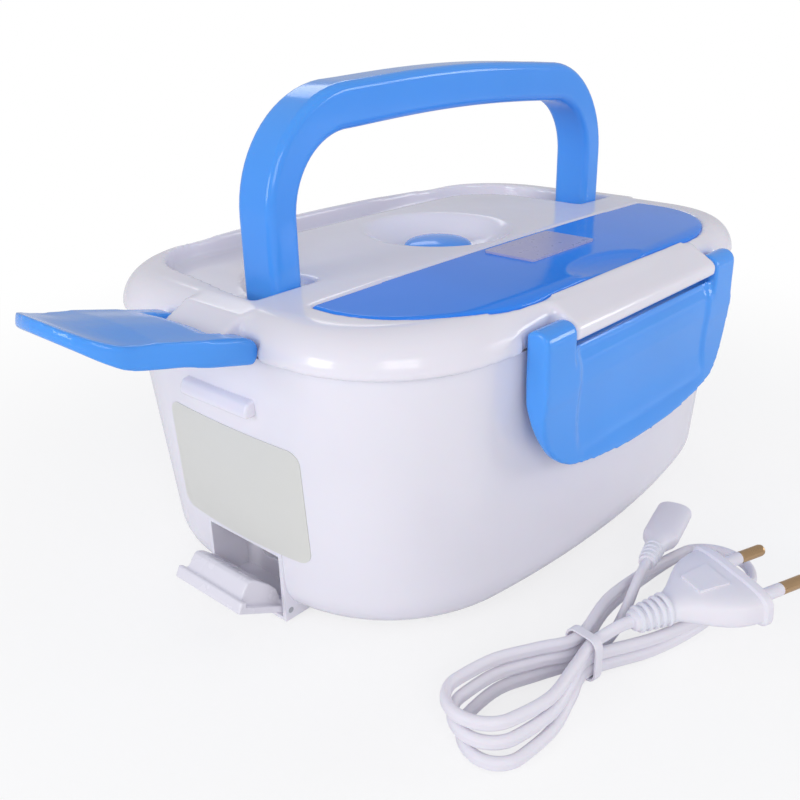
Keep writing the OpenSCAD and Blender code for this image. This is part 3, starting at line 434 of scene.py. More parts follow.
def finish_of(name, colour, second, rough, metal=0.0, tint_scale=18.0, grain=900.0, bump=0.02,
              soft=0.0, coat=0.0, stretch=None, shine=0.5):
    """Material whose colour drifts between two tones and whose sheen and surface follow a grain."""
    known = bpy.data.materials.get(name)
    if known:
        return known
    made = bpy.data.materials.new(name)
    made.use_nodes = True
    tree = made.node_tree
    place = tree.nodes.new("ShaderNodeTexCoord").outputs["Object"]
    tones = tree.nodes.new("ShaderNodeValToRGB")
    for element, stop, shade in zip(tones.color_ramp.elements, (0.35, 0.65), (colour, second)):
        element.position, element.color = stop, (*shade, 1)
    feed(tree, tones, {"Fac": noise(tree, place, tint_scale)})
    sheen = add(tree, "ShaderNodeMapRange", {
        "Value": noise(tree, place, grain * 0.12, 3.0), "From Min": 0.3, "From Max": 0.7,
        "To Min": rough * 0.85, "To Max": rough * 1.2}, "Result")
    grain_place = add(tree, "ShaderNodeMapping", {"Vector": place, "Scale": stretch}) \
        if stretch else place
    relief = add(tree, "ShaderNodeBump", {"Strength": bump, "Distance": 0.0004,
                                          "Height": noise(tree, grain_place, grain)})
    feed(tree, tree.nodes["Principled BSDF"], {
        "Base Color": tones.outputs["Color"], "Roughness": sheen, "Metallic": metal,
        "Subsurface Weight": soft, "Subsurface Scale": 0.004, "Specular IOR Level": shine,
        "Coat Weight": coat, "Coat Roughness": 0.06, "Normal": relief})
    return made


def seen(colour):
    """A colour as it looks on a screen, made linear for the shader."""
    return tuple(c / 12.92 if c <= 0.04045 else ((c + 0.055) / 1.055) ** 2.4 for c in colour)


def tinted(colour, share):
    return tuple(min(1.0, c * share) for c in colour)


def materials(look):
    white, blue = seen(look.body_colour), seen(look.clip_colour)
    cover, film = seen(look.cover_colour), seen(look.sticker_colour)
    return {
        "body_white": finish_of("glossy white plastic", white, tinted(white, 0.975), look.gloss,
                                soft=0.08, coat=0.1, shine=0.4),
        "clip_blue": finish_of("glossy blue plastic", blue, tinted(blue, 0.94), look.gloss * 0.8,
                               soft=0.10, coat=0.08, shine=0.3),
        "cover_blue": finish_of("clear blue cover plastic", cover, tinted(cover, 0.92),
                                look.gloss * 0.8, soft=0.10, shine=0.2),
        "flap_white": finish_of("satin white plastic", tinted(white, 0.99), tinted(white, 0.95),
                                look.gloss * 1.6),
        "screw_steel": finish_of("plain screw steel", (0.52, 0.53, 0.55), (0.44, 0.45, 0.47), 0.32,
                                 metal=1.0, grain=1600.0, bump=0.05),
        "foot_rubber": finish_of("grey foot rubber", (0.27, 0.275, 0.29), (0.23, 0.235, 0.25), 0.75,
                                 grain=1400.0, bump=0.15),
        "tub_grey": finish_of("satin grey plastic", (0.66, 0.67, 0.70), (0.63, 0.64, 0.67), 0.38,
                              grain=1200.0, bump=0.05),
        "plate_aluminium": finish_of("machined aluminium", (0.62, 0.63, 0.65), (0.55, 0.56, 0.58),
                                     0.36, metal=1.0, grain=900.0, bump=0.08, stretch=(1, 12, 1)),
        "heater_body": finish_of("dull bronze heater", (0.48, 0.30, 0.14), (0.42, 0.25, 0.11), 0.45,
                                 metal=0.8, bump=0.06),
        "black_plastic": finish_of("matte black plastic", (0.02, 0.02, 0.022),
                                   (0.028, 0.028, 0.03), 0.5, grain=1500.0, bump=0.08),
        "wire_red": finish_of("red wire sleeve", (0.45, 0.02, 0.015), (0.38, 0.015, 0.012), 0.4),
        "blank_label": finish_of("blank sticker film", film, tinted(film, 0.96), 0.42,
                                 tint_scale=9.0, grain=2200.0, bump=0.06),
        "small_label": finish_of("blank clear label", seen((0.66, 0.66, 0.80)),
                                 seen((0.70, 0.69, 0.82)), 0.30, grain=2200.0, bump=0.01),
        "tray_steel": finish_of("satin stainless steel", (0.58, 0.585, 0.60), (0.52, 0.525, 0.54),
                                0.24, metal=1.0, grain=700.0, bump=0.06, stretch=(1, 16, 1)),
        "box_plastic": finish_of("milky box plastic", (0.80, 0.80, 0.83), (0.77, 0.77, 0.80), 0.35,
                                 soft=0.1),
        "box_lid_plastic": finish_of("pale blue box lid", (0.35, 0.53, 0.88), (0.32, 0.49, 0.84),
                                     0.24, soft=0.1),
        "seal_rubber": finish_of("soft seal silicone", (0.78, 0.78, 0.74), (0.74, 0.74, 0.70), 0.55,
                                 grain=1500.0, bump=0.08, soft=0.15),
        "cord_white": finish_of("soft white cord plastic", seen((0.93, 0.92, 0.95)),
                                seen((0.90, 0.89, 0.93)), 0.42, grain=1500.0, bump=0.05, soft=0.08,
                                shine=0.3),
        "pin_brass": finish_of("worn brass", (0.62, 0.42, 0.24), (0.52, 0.34, 0.18), 0.28,
                               metal=1.0, grain=1800.0, bump=0.06, stretch=(8, 1, 1)),
    }


def give(thing, material):
    thing.data.materials.clear()
    thing.data.materials.append(material)
    return thing


def stands_for(thing, body, slot, material, *nodes):
    """Gives a finished piece its finish and its body, and hides the nodes that it replaces."""
    give(thing, material)
    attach(thing, body)
    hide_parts(*nodes)
    return thing


# Settings

def tone(name, text, value):
    return bpy.props.FloatVectorProperty(name=name, description=text, size=3, default=value,
                                         min=0.0, max=1.0, subtype="COLOR")


def size(name, text, value, low, high):
    return bpy.props.FloatProperty(name=name, description=text + ", in millimetres",
                                   default=value, min=low, max=high)


def number(name, text, value, low, high):
    return bpy.props.IntProperty(name=name, description=text, default=value, min=low, max=high)


class LunchBoxLook(bpy.types.PropertyGroup):
    body_colour: tone("Body colour", "Colour of the body and the lid", (0.925, 0.915, 0.95))
    clip_colour: tone("Clip colour", "Colour of the handle and the latches", (0.32, 0.63, 0.985))
    cover_colour: tone("Cover colour", "Colour of the spoon compartment's cover",
                       (0.22, 0.55, 0.97))
    sticker_colour: tone("Sticker colour", "Colour of the blank sticker", (0.85, 0.85, 0.83))
    gloss: bpy.props.FloatProperty(
        name="Roughness", description="Roughness of the glossy plastic", default=0.16,
        min=0.02, max=0.6, subtype="FACTOR")


class LunchBoxSizes(bpy.types.PropertyGroup):
    edge_softness: number("Edge softness", "Soft passes over each moulded edge", 6, 1, 20)
    lid_mesh: size("Lid mesh size", "Size of the even mesh over the lid", 0.95, 0.8, 2.0)
    clip_mesh: size("Clip mesh size", "Size of the even mesh over the latches", 0.5, 0.4, 1.5)
    handle_round: size("Handle rounding", "Rounding along the handle's edges", 2.8, 0.5, 4.0)
    cord_width: size("Cord width", "Width of the twin cord", 4.2, 3.0, 4.5)
    cord_thickness: size("Cord thickness", "Thickness of the twin cord", 3.2, 2.0, 4.0)
    rib_count: number("Ribs", "Ribs on the plug's strain relief", 5, 1, 8)


# Lid and body

def handle_pocket():
    """Space that the handle folds into, open upward, on a floor that falls toward its pivot."""
    right = ([(101.4, -6.8), (100.9, 2), (99.9, 10), (98.2, 20), (96.7, 29)]
             + ellipse((62, 34.7), 34, 33.9, 8, 90, 26))
    island = [(76, -6.8), (76, 8)] + ellipse((52, 21.9), 24, 24, 0, 90, 20)
    plan = mirrored(right) + mirrored([(-x, y) for x, y in island])
    slope = math.tan(POCKET_FALL)
    floor = HANDLE_PIVOT[2] - (HANDLE_HALF_DEPTH + POCKET_GAP) / math.cos(POCKET_FALL)
    return prism("pocket", plan, lambda x, y: floor + (y - HANDLE_PIVOT[1]) * slope, 120)


def cover_plan(inset):
    left = [(inset - 95.5, -24.5 - inset)]
    left += ellipse((COVER_CORNER[0] - 95.5, COVER_SIDE_Y), COVER_CORNER[0] - inset,
                    71.2 + COVER_SIDE_Y - inset, 180, 270, 28)
    return left + [(-x, y) for x, y in reversed(left)]


def lowered_lid(drop, low):
    rings = [[(x, y, z - drop) for x, y, z in ring] for ring in lid_rings(low)]
    return skin("lowered lid", rings)


def at_side(angle, pivot):
    return turn(angle) @ at(0, pivot, LATCH_PIVOT_Z)


def hinge_block(half):
    profile = ([(-13.8, 8.0), (-9, -2.4), (2.6, -2.4)] + arc((0, 0), 4.3, -34, 50, 12)
               + [(-0.8, 5.2), (-5.8, 8), (-13.8, 9)])
    made = across("hinge block", profile, -half, half)
    return cut(made, rod("bore", half - 5.2, half + 1, 0, 0, 1.6),
               rod("bore", -half - 1, 5.2 - half, 0, 0, 1.6))


def make_lid(sizes):
    lid = skin("lid_moulding", lid_rings(SKIRT_Z))
    seat = cut(prism("seat", cover_plan(0), 94, 112), lowered_lid(COVER_DROP, 70))
    vent = turned("vent dish", [(14.6, 96), (16.6, 96.3), (19.4, 97.7), (23, 100.4), (26.6, 103.6),
                                (28.6, 105), (31, 108)], VENT_AT)
    for angle, pivot, half, arm_in in ((180, LONG_PIVOT, LONG_HALF, LONG_ARM),
                                       (0, LONG_PIVOT, LONG_HALF, LONG_ARM),
                                       (90, SHORT_PIVOT, SHORT_HALF, SHORT_ARM),
                                       (270, SHORT_PIVOT, SHORT_HALF, SHORT_ARM)):
        place = at_side(angle, pivot)
        for sign in (-1, 1):
            near, far = sorted((sign * (arm_in - 0.3), sign * (half + 0.6)))
            cut(lid, placed(block("notch", (near, -4.8, -12), (far, 30, 4.9)), place))
        joined(lid, placed(hinge_block(arm_in - 0.5), place))
    cut(lid, handle_pocket(), seat, prism("spoon space", cover_plan(4.2), 91, 112), vent,
        turned("stem hole", [(5.3, 80), (5.3, 110)], VENT_AT, 48))
    bosses = [rod("boss", x0, x1, HANDLE_PIVOT[1], HANDLE_PIVOT[2], 4.6)
              for x0, x1 in ((70, 80.7), (-80.7, -70))]
    posts = [turned("post", [(3, 87.6), (3, 94)], spot, 32)
             for spot in ((-97, -16), (-50, -16), (50, -16), (97, -16), (-40, 36), (40, 36))]
    with_meshes(lid, *bosses, *posts)
    return moulded(lid, sizes.lid_mesh, sizes.edge_softness)


def catch_ledge(half, far, near, angle):
    plan = [(near, 72.2), (far, 72.2), (far, 74.4), (far - 1.2, 77), (near, 78)]
    ledge = facing("ledge", plan, -half, half)
    rounding = ledge.modifiers.new("edge", "BEVEL")
    rounding.width = 1.0 * MM
    rounding.segments = 4
    return placed(settled(ledge), turn(angle))


def make_body():
    body = skin("body_moulding", body_rings(0, BODY_Z))
    joined(body, catch_ledge(16, 115.3, 109.3, 0), catch_ledge(16, 115.3, 109.3, 180),
           catch_ledge(38.4, 78.1, 72.2, 90), catch_ledge(38.4, 78.1, 72.2, 270))
    cut(body, skin("hollow", body_rings(WALL, 93)),
        prism("rim", body_outline(BODY_Z, WALL / 2), 89.4, 93),
        prism("base", bulging(*BASE_PLAN), -1, 9),
        block("inlet", (-121, -20.6, -1), (-93.4, 16.6, 26.1)))
    return crisp(body, 30, bevel=0.35)


def body_x(y, z, out):
    """Where the near short side lies at a width and height, a little out from its surface."""
    ring = [p for p in body_outline(z, -out) if p[0] < 0]
    ring.sort(key=lambda p: p[1])
    for low, high in zip(ring, ring[1:]):
        if low[1] <= y <= high[1]:
            share = (y - low[1]) / (high[1] - low[1])
            return low[0] + share * (high[0] - low[0])
    raise RuntimeError("the sticker is wider than the side that it lies on")


def sticker(name, width, height, corner, face, columns=60, rows=44):
    """Thin sheet with round corners. face(u, v, out) places its points."""
    def half_at(v):
        gap = abs(v) - (height / 2 - corner)
        return width / 2 - (corner - math.sqrt(max(0, corner ** 2 - max(0, gap) ** 2)))

    points, faces = [], []
    levels = [-height / 2 * math.cos(math.pi * j / rows) for j in range(rows + 1)]
    for out in (0.28, -0.3):
        for v in levels:
            half = half_at(v)
            points += [face(half * (2 * i / columns - 1), v, out) for i in range(columns + 1)]
    row, sheet = columns + 1, (columns + 1) * (rows + 1)
    for j in range(rows):
        for i in range(columns):
            a = j * row + i
            faces.append([a, a + 1, a + row + 1, a + row])
            faces.append([sheet + a + row, sheet + a + row + 1, sheet + a + 1, sheet + a])
    rim = (list(range(columns)) + [j * row + columns for j in range(rows)]
           + [rows * row + i for i in range(columns, 0, -1)]
           + [j * row for j in range(rows, 0, -1)])
    for a, b in zip(rim, rim[1:] + rim[:1]):
        faces.append([b, a, sheet + a, sheet + b])
    return crisp(of_faces(name, points, faces), 40)


# Handle, latches and the lid's small pieces

def handle_side(half, radius, top):
    points = [(half, -HANDLE_HALF_DEPTH * math.cos(math.radians(9 * i))) for i in range(10)]
    points += [(half, (top - radius) * i / 8) for i in range(8)]
    points += [(half - radius + radius * math.cos(math.radians(5 * i)),
                top - radius + radius * math.sin(math.radians(5 * i))) for i in range(19)]
    flat = half - radius
    for i in range(1, 19):
        x = flat * (1 - i / 18)
        points.append((x, top + 2 * (1 - (x / flat) ** 2) ** 1.2))
    return points


def make_handle(sizes):
    inner, outer = mirrored(handle_side(*HANDLE_INNER)), mirrored(handle_side(*HANDLE_OUTER))
    rings, turns = [], 7
    for (xi, zi), (xo, zo) in zip(inner, outer):
        z = min(zi, zo)
        deep = HANDLE_HALF_DEPTH
        if z < 0:
            deep = math.sqrt(max(0, deep * deep - z * z))
        across_it = math.hypot(xo - xi, zo - zi)
        rounding = min(sizes.handle_round, deep * 0.98 + 0.001)
        ring = []
        for quarter, (side, front) in enumerate(((1, 1), (-1, 1), (-1, -1), (1, -1))):
            for k in range(turns):
                t = math.radians(90 * (quarter + k / (turns - 1)))
                u = side * (across_it / 2 - rounding) + rounding * math.cos(t)
                v = front * (deep - rounding) + rounding * math.sin(t)
                share = 0.5 + u / across_it
                ring.append((xi + (xo - xi) * share, HANDLE_PIVOT[1] + v,
                             HANDLE_PIVOT[2] + zi + (zo - zi) * share))
        rings.append(ring)
    handle = tube("carrying_handle", rings)
    cut(handle, rod("bore", -90, 90, HANDLE_PIVOT[1], HANDLE_PIVOT[2], 2.05))
    return crisp(handle, 40)


def latch_plan(half, drop, rx, ry, rise, inset):
    """Outline of a latch from the front, whose corners are ellipses and whose end is an arc."""
    right = [(half - inset, 9), (half - inset, ry + rise - drop + 6)]
    right += [(half - rx + (rx - inset) * math.cos(math.radians(a)),
               ry + rise - drop + (ry - inset) * math.sin(math.radians(a)))
              for a in range(0, -82, -6)]
    x_end, z_end = right[-1]
    bend = (z_end - inset + drop) / x_end ** 2
    lower = [x_end * (1 - i / 14) for i in range(1, 15)]
    return mirrored(right + [(x, inset - drop + bend * x ** 2) for x in lower])


def make_latch(name, sizes, half, arm_in, drop, corner, face, back, rim, hook_half, dish):
    """A latch drawn shut, with its pivot at the origin and its outer face toward +Y."""
    face, back, rim = smooth_line(face), smooth_line(back), smooth_line(rim)
    cove = smooth_line([(2.7, -4.6), (3.1, -6.6), (3.9, -9), (4.4, -11), (4.5, -13)])
    plate = common(facing("plate", latch_plan(half, drop, *corner, 0), -6, 14),
                   across("side", cove + face + back + [(1.5, -4.6)], -half, half))
    ring = cut(facing("ring", latch_plan(half, drop, *corner, 0.12), -6, 14),
               facing("inside", latch_plan(half, drop, *corner, 3), -7, 15))
    below = [(y - 0.12, z) for y, z in face]
    common(ring, across("side", [(4.38, -11)] + below + rim + [(-3.4, -11)], -half, half))
    arm = ([(-3.4, -12), (1.5, -12), (4.4, -19), (4.45, -12), (4.45, 0)]
           + arc((0, 0), 4.4, 4, 154, 15) + [(-3.4, 2.6)])
    shelf = arc((0, 0), 6.4, -122, -57, 14) + arc((0, 0), 4.9, -57, -122, 14)
    hook = [(-1.3, -22.7), (1.8, -22.7), (1.8, -27.7), (-1.3, -24.3)]
    with_meshes(plate, ring, across("arm", arm, arm_in, half - 0.1),
                across("arm", arm, 0.1 - half, -arm_in),
                across("shelf", shelf, 0.2 - arm_in, arm_in - 0.2),
                rod("peg", arm_in - 4.6, arm_in + 1, 0, 0, 1.5),
                rod("peg", -arm_in - 1, 4.6 - arm_in, 0, 0, 1.5),
                across("hook", hook, -hook_half, hook_half))
    plate.name = name
    latch = moulded(plate, sizes.clip_mesh, 3 * sizes.edge_softness)
    depth, reach, fade = dish
    vertices = latch.data.vertices
    outer = [v.index for v in vertices if v.normal.y > 0.3 and v.co.y > 2.4 * MM
             and v.co.z < -4.4 * MM]
    for i in outer:
        x, y, z = vertices[i].co / MM
        level = ease((reach - abs(x)) / fade) * ease((z + drop - 3) / 12)
        vertices[i].co.y -= depth * level * MM
    latch.data.shade_smooth()
    return latch


def make_cover():
    cover = common(prism("lid_spoon_cover", cover_plan(0.3), 94, 112),
                   skin("top", lid_rings(80)))
    scoop = skin("finger scoop", [
        [(-4 + 27 * c * share, -70 + 14 * s * share, 107.2 + 4 * rise)
         for c, s in arc((0, 0), 1, 0, 360, 48)]
        for share, rise in ellipse((0, 0), 1, 1, -90, 90, 12)], short=0)
    return moulded(cut(cover, lowered_lid(COVER_DROP, 70), scoop), 0.6, 3)


def make_vent_plug():
    profile = [(4.4, 85.3), (5, 86), (5, 96.2), (12.0, 96.3), (12.8, 96.7), (13, 97.4),
               (12.95, 98.3), (12.6, 99.1), (11.8, 99.8), (10.4, 100.4), (8.4, 100.9), (6, 101.25),
               (3, 101.45), (0.6, 101.5)]
    return crisp(turned("vent_button", profile, VENT_AT), 40)


def make_flap():
    """The inlet's flap, drawn with its pin at the origin and its length upward, then laid open."""
    flap = facing("inlet_cover_flap", [(-1.9, 0), (0.6, 0), (0.6, 18), (2.1, 18), (2.1, 19.9),
                                       (-1.9, 19.9)], -16.4, 16.4)
    joined(flap, facing("barrel", arc((0, 0), 1.9, 0, 354, 40), -16.4, 16.4),
           facing("block", [(0.3, 1.0), (2.6, 1.6), (5.2, 4.0), (6.8, 7.8), (8.3, 14.5),
                            (8.2, 16.2), (7.2, 17.3), (4.6, 17.8), (2.6, 18.1), (0.3, 18.6)],
                  -13.7, 13.7))
    cut(flap, facing("bore", arc((0, 0), 1.2, 0, 352, 24), -20, 20))
    return placed(moulded(flap, 0.4, 5), at(*FLAP_PIN) @ turn(FLAP_ANGLE, "Y"))


# Cord: the route in part.scad, in the folded cord's own frame, u along it and v across

def spread(u):
    return 2.3 + 10.7 * ease(u / 35) if u > 0 else 2.3 + 8.2 * ease(-u / 25)


def swing(u, k):
    return (0, 5)[min(k, 1)] * (u / 78) ** 2 if u > 0 else (3, 0, -4)[k] * (u / 48) ** 2


def run_point(u, side, k, level):
    return (u, side * spread(u) + swing(u, k), 2.8 + 4.5 * level)


def fold_point(mid, r, a, k, level):
    u = mid + r * math.cos(math.radians(a))
    return (u, r * math.sin(math.radians(a)) + swing(u, k), 2.8 + 4.5 * level)


def hank_point(i):
    k, j = divmod(i, 24)
    if j < 3:
        return run_point(-37.5 * j / 3, -1, k, 2 - k)
    if j < 9:
        return fold_point(-37.5, 10.5, 270 - 30 * (j - 3), k, 2 - k)
    if j < 12:
        return run_point(-37.5 * (12 - j) / 3, 1, k, 2 - k)
    if j < 15:
        return run_point(65 * (j - 12) / 3, 1, k, 2 - k - ease((j - 12) / 3))
    if j < 21:
        return fold_point(65, 13, 90 - 30 * (j - 15), k, 1 - k)
    return run_point(65 * (24 - j) / 3, -1, k, 1 - k)


LEAD = [(15, -5.2, 14.3), (11.2, -4, 13.9), (5.5, -2.7, 12.6)]
HANK = LEAD + [hank_point(i) for i in range(61)] + [(4, 2.3, 2.8), (8, 2.3, 2.8)]
TAIL = [(8, 2.3, 2.8), (12, 2.3, 2.9), (19, 2.8, 5.6), (26, 4.4, 10), (33, 7, 13),
        (39, 9.4, 13.8), (44, 11.4, 13.8)]
ON_HANK = at(*HANK_AT, 0) @ turn(HANK_TURN)
ON_PLUG = ON_HANK @ at(*LEAD[0]) @ turn(-17.5) @ turn(-5, "Y")
ON_CONNECTOR = ON_HANK @ at(*TAIL[-1]) @ turn(21.8)


def route(points):
    """The points of the cord in the object's frame, in metres, as one smooth line."""
    return [ON_HANK @ (Vector(p) * MM) for p in smooth_line(points, 5)]


def group(name, inputs):
    """A new geometry tree with its named inputs and one output, its start and its end."""
    tree = bpy.data.node_groups.new(name, "GeometryNodeTree")
    tree.interface.new_socket("Geometry", in_out="INPUT", socket_type="NodeSocketGeometry")
    for label, value in inputs.items():
        kind = "NodeSocketInt" if isinstance(value, int) else "NodeSocketFloat"
        tree.interface.new_socket(label, in_out="INPUT", socket_type=kind).default_value = value
    tree.interface.new_socket("Geometry", in_out="OUTPUT", socket_type="NodeSocketGeometry")
    start, end = tree.nodes.new("NodeGroupInput"), tree.nodes.new("NodeGroupOutput")
    return tree, start.outputs, end


def set_input(modifier, name, value):
    for item in modifier.node_group.interface.items_tree:
        if item.item_type == "SOCKET" and item.in_out == "INPUT" and item.name == name:
            modifier[item.identifier] = value
            return
    raise RuntimeError(f"the tree has no input {name}")


def cord_tree(material):
    """Sweeps the twin cord's section, an oval drawn in at its middle, along a line."""
    tree, given, end = group("twin cord", {"Width": 0.0042, "Thickness": 0.0032, "Groove": 0.16})
    line = add(tree, "GeometryNodeMeshToCurve", {"Mesh": given["Geometry"]})
    ring = add(tree, "GeometryNodeCurvePrimitiveCircle", {"Resolution": 24, "Radius": 0.5})
    place = tree.nodes.new("GeometryNodeInputPosition").outputs["Position"]
    parts = feed(tree, tree.nodes.new("ShaderNodeSeparateXYZ"), {"Vector": place}).outputs
    bell = tree.nodes.new("ShaderNodeMapRange")
    bell.interpolation_type = "SMOOTHSTEP"
    feed(tree, bell, {"From Min": 0.0, "From Max": 0.02,
                      "Value": calculated(tree, "MULTIPLY", parts["Y"], parts["Y"]),
                      "To Min": calculated(tree, "SUBTRACT", 1.0, given["Groove"])})
    thin = calculated(tree, "MULTIPLY", bell.outputs["Result"], given["Thickness"])
    section = add(tree, "ShaderNodeCombineXYZ", {
        "X": calculated(tree, "MULTIPLY", parts["X"], thin),
        "Y": calculated(tree, "MULTIPLY", parts["Y"], given["Width"])})
    shape = add(tree, "GeometryNodeSetPosition", {"Geometry": ring, "Position": section})
    level = tree.nodes.new("GeometryNodeSetCurveNormal")
    level.mode = "Z_UP"
    feed(tree, level, {"Curve": line})
    sweep = add(tree, "GeometryNodeCurveToMesh", {
        "Curve": level.outputs["Curve"], "Profile Curve": shape, "Fill Caps": True})
    return finish_tree(tree, sweep, material, end)


def finish_tree(tree, result, material, end):
    solid = add(tree, "GeometryNodeRealizeInstances", {"Geometry": result})
    feed(tree, end, {0: add(tree, "GeometryNodeSetMaterial",
                            {"Geometry": solid, "Material": material})})
    return tree


def grown(thing, tree, **inputs):
    modifier = thing.modifiers.new(tree.name, "NODES")
    modifier.node_group = tree
    for name, value in inputs.items():
        set_input(modifier, name, value)
    return settled(thing)


def rib_tree(material):
    """A row of rings along X, each a bead round the strain relief."""
    tree, given, end = group("ribs", {"Count": 5, "First": 0.002, "Step": 0.0024,
                                      "Radius": 0.004, "Growth": 0.0002, "Bead": 0.0007})
    row = tree.nodes.new("GeometryNodeMeshLine")
    row.mode = "OFFSET"
    feed(tree, row, {
        "Count": given["Count"],
        "Start Location": add(tree, "ShaderNodeCombineXYZ", {"X": given["First"]}),
        "Offset": add(tree, "ShaderNodeCombineXYZ", {"X": given["Step"]})})
    ring = add(tree, "GeometryNodeCurvePrimitiveCircle",
               {"Resolution": 40, "Radius": given["Radius"]})
    bead = add(tree, "GeometryNodeCurvePrimitiveCircle",
               {"Resolution": 10, "Radius": given["Bead"]})
    torus = add(tree, "GeometryNodeCurveToMesh", {"Curve": ring, "Profile Curve": bead})
    index = tree.nodes.new("GeometryNodeInputIndex").outputs["Index"]
    ribs = add(tree, "GeometryNodeInstanceOnPoints", {
        "Points": row.outputs["Mesh"], "Instance": torus, "Rotation": (0, math.pi / 2, 0),
        "Scale": calculated(tree, "MULTIPLY_ADD", index, given["Growth"], 1.0)})
    both = tree.nodes.new("GeometryNodeJoinGeometry")
    feed(tree, both, {"Geometry": ribs})
    feed(tree, both, {"Geometry": given["Geometry"]})
    return finish_tree(tree, both.outputs["Geometry"], material, end)


def make_plug():
    plug = loft("mains_plug", [
        (-0.2, 2.3, 2.1, 1.0), (0, 3.0, 2.8, 1.0), (0.8, 3.6, 3.2, 1.0), (6, 4.2, 3.5, 1.0),
        (12, 4.9, 3.8, 0.95), (14.5, 5.7, 4.1, 0.9), (17, 7.2, 4.6, 0.82), (19.5, 9.2, 5.0, 0.75),
        (22, 11.3, 5.3, 0.68), (25, 13.5, 5.5, 0.62), (28, 15.0, 5.6, 0.58), (31, 15.9, 5.6, 0.56),
        (34, 16.4, 5.6, 0.55), (34.7, 16.5, 5.6, 0.54), (35.0, 17.1, 6.2, 0.53),
        (35.4, 17.5, 6.5, 0.53), (37.2, 17.5, 6.5, 0.53), (37.8, 17.1, 6.1, 0.53),
        (38, 16.4, 5.5, 0.53)])
    panel = prism("panel", [(21, -4.5), (31, -5.6), (31, 5.6), (21, 4.5)], 4, 6.05)
    return crisp(joined(plug, panel), 40, bevel=0.2)


def make_tie():
    """Band round the waist of the folded cord."""
    def loop(half, low, high, corner):
        centres = ((half - corner, high - corner), (corner - half, high - corner),
                   (corner - half, low + corner), (half - corner, low + corner))
        return [p for k, centre in enumerate(centres)
                for p in arc(centre, corner, 90 * k, 90 * k + 90, 8)]

    band = cut(across("cord_tie_band", loop(6.0, 0.05, 15.0, 3.4), -1.5, 1.5),
               across("inside", loop(5.2, 0.75, 14.3, 2.7), -3, 3))
    return placed(crisp(band, 40, bevel=0.25), ON_HANK)


def make_connector():
    body = loft("socket_end", [
        (-0.1, 2.2, 2.2, 1.0), (0, 2.7, 2.7, 1.0), (4, 2.9, 2.9, 1.0), (9, 3.2, 3.1, 1.0),
        (12, 3.6, 3.2, 0.95), (14, 4.6, 3.4, 0.9), (16, 5.7, 3.55, 0.85), (18.5, 6.1, 3.6, 0.82),
        (30, 6.15, 3.6, 0.82), (37, 6.1, 3.55, 0.82), (37.7, 5.9, 3.35, 0.82),
        (38, 5.5, 3.0, 0.82)])
    return cut(body, rod("hole", 26, 40, 2.6, 0, 1.3, 24), rod("hole", 26, 40, -2.6, 0, 1.3, 24))


def make_pins(name, x0, x1, radius):
    sections = [(x, radius * share, radius * share, 1) for x, share in (
        (x0, 0.9), (x0 + 0.2, 1), (x1 - 1.6, 1), (x1 - 0.7, 0.86), (x1 - 0.15, 0.5), (x1, 0.2))]
    pins = [loft(name, sections, at(0, side * 9.3, 0), 32) for side in (-1, 1)]
    return crisp(with_meshes(*pins), 50)


# Operators, one for each piece or group of like pieces

def settings(context):
    return context.scene.lunch_box_sizes, materials(context.scene.lunch_box_look)


class LUNCHBOX_OT_camera(bpy.types.Operator):
    """Place the camera where the photograph was taken from"""
    bl_idname = "lunchbox.camera"
    bl_label = "Camera"

    def execute(self, context):
        data = bpy.data.cameras.new("camera")
        data.sensor_width, data.lens = SENSOR, LENS
        data.shift_x, data.shift_y = SHIFT
        data.clip_start = 0.01
        camera = linked("camera", data)
        camera.matrix_world = at(*CAMERA_AT) @ Matrix(CAMERA_AXES).transposed().to_4x4()
        context.scene.camera = camera
        return {"FINISHED"}


class LUNCHBOX_OT_cord(bpy.types.Operator):
    """Make the folded cord, its tie, plug, pins and connector"""
    bl_idname = "lunchbox.cord"
    bl_label = "Cord"

    def execute(self, context):
        sizes, look = settings(context)
        white = look["cord_white"]
        sweep, ribs = cord_tree(white), rib_tree(white)
        line = route(HANK + TAIL[1:])
        cord = grown(line_object("supply_cord", line), sweep,
                     Width=sizes.cord_width * MM, Thickness=sizes.cord_thickness * MM)
        stands_for(crisp(cord, 50), "base", "cord_white", white, "cord_hank", "cord_tail")
        plug = grown(make_plug(), ribs, Count=sizes.rib_count, First=0.0022, Step=0.0023,
                     Radius=0.00345, Growth=0.06, Bead=0.00075)
        stands_for(placed(plug, ON_PLUG), "base", "cord_white", white, "plug")
        tips = placed(make_pins("pin_tips", 47.5, 57, 1.95), ON_PLUG)
        stands_for(tips, "base", "pin_brass", look["pin_brass"], "plug_pins")
        sleeves = placed(make_pins("pin_sleeves", 37.5, 48.5, 2.0), ON_PLUG)
        give(sleeves, white)
        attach(sleeves, "base")
        end = grown(crisp(make_connector(), 40), ribs, Count=4, First=0.002, Step=0.0024,
                    Radius=0.00255, Growth=0.035, Bead=0.0006)
        stands_for(placed(end, ON_CONNECTOR), "base", "cord_white", white, "connector")
        tie = stands_for(make_tie(), "base", "cord_white", white, "cord_tie")
        length = sum((b - a).length for a, b in zip(line, line[1:]))
        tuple(line[0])
        return {"FINISHED"}


class LUNCHBOX_OT_lid(bpy.types.Operator):
    """Make the lid with its pocket, seat, vent dish and hinge blocks"""
    bl_idname = "lunchbox.lid"
    bl_label = "Lid"

    def execute(self, context):
        sizes, look = settings(context)
        stands_for(make_lid(sizes), "lid", "body_white", look["body_white"], "lid_shell")
        return {"FINISHED"}


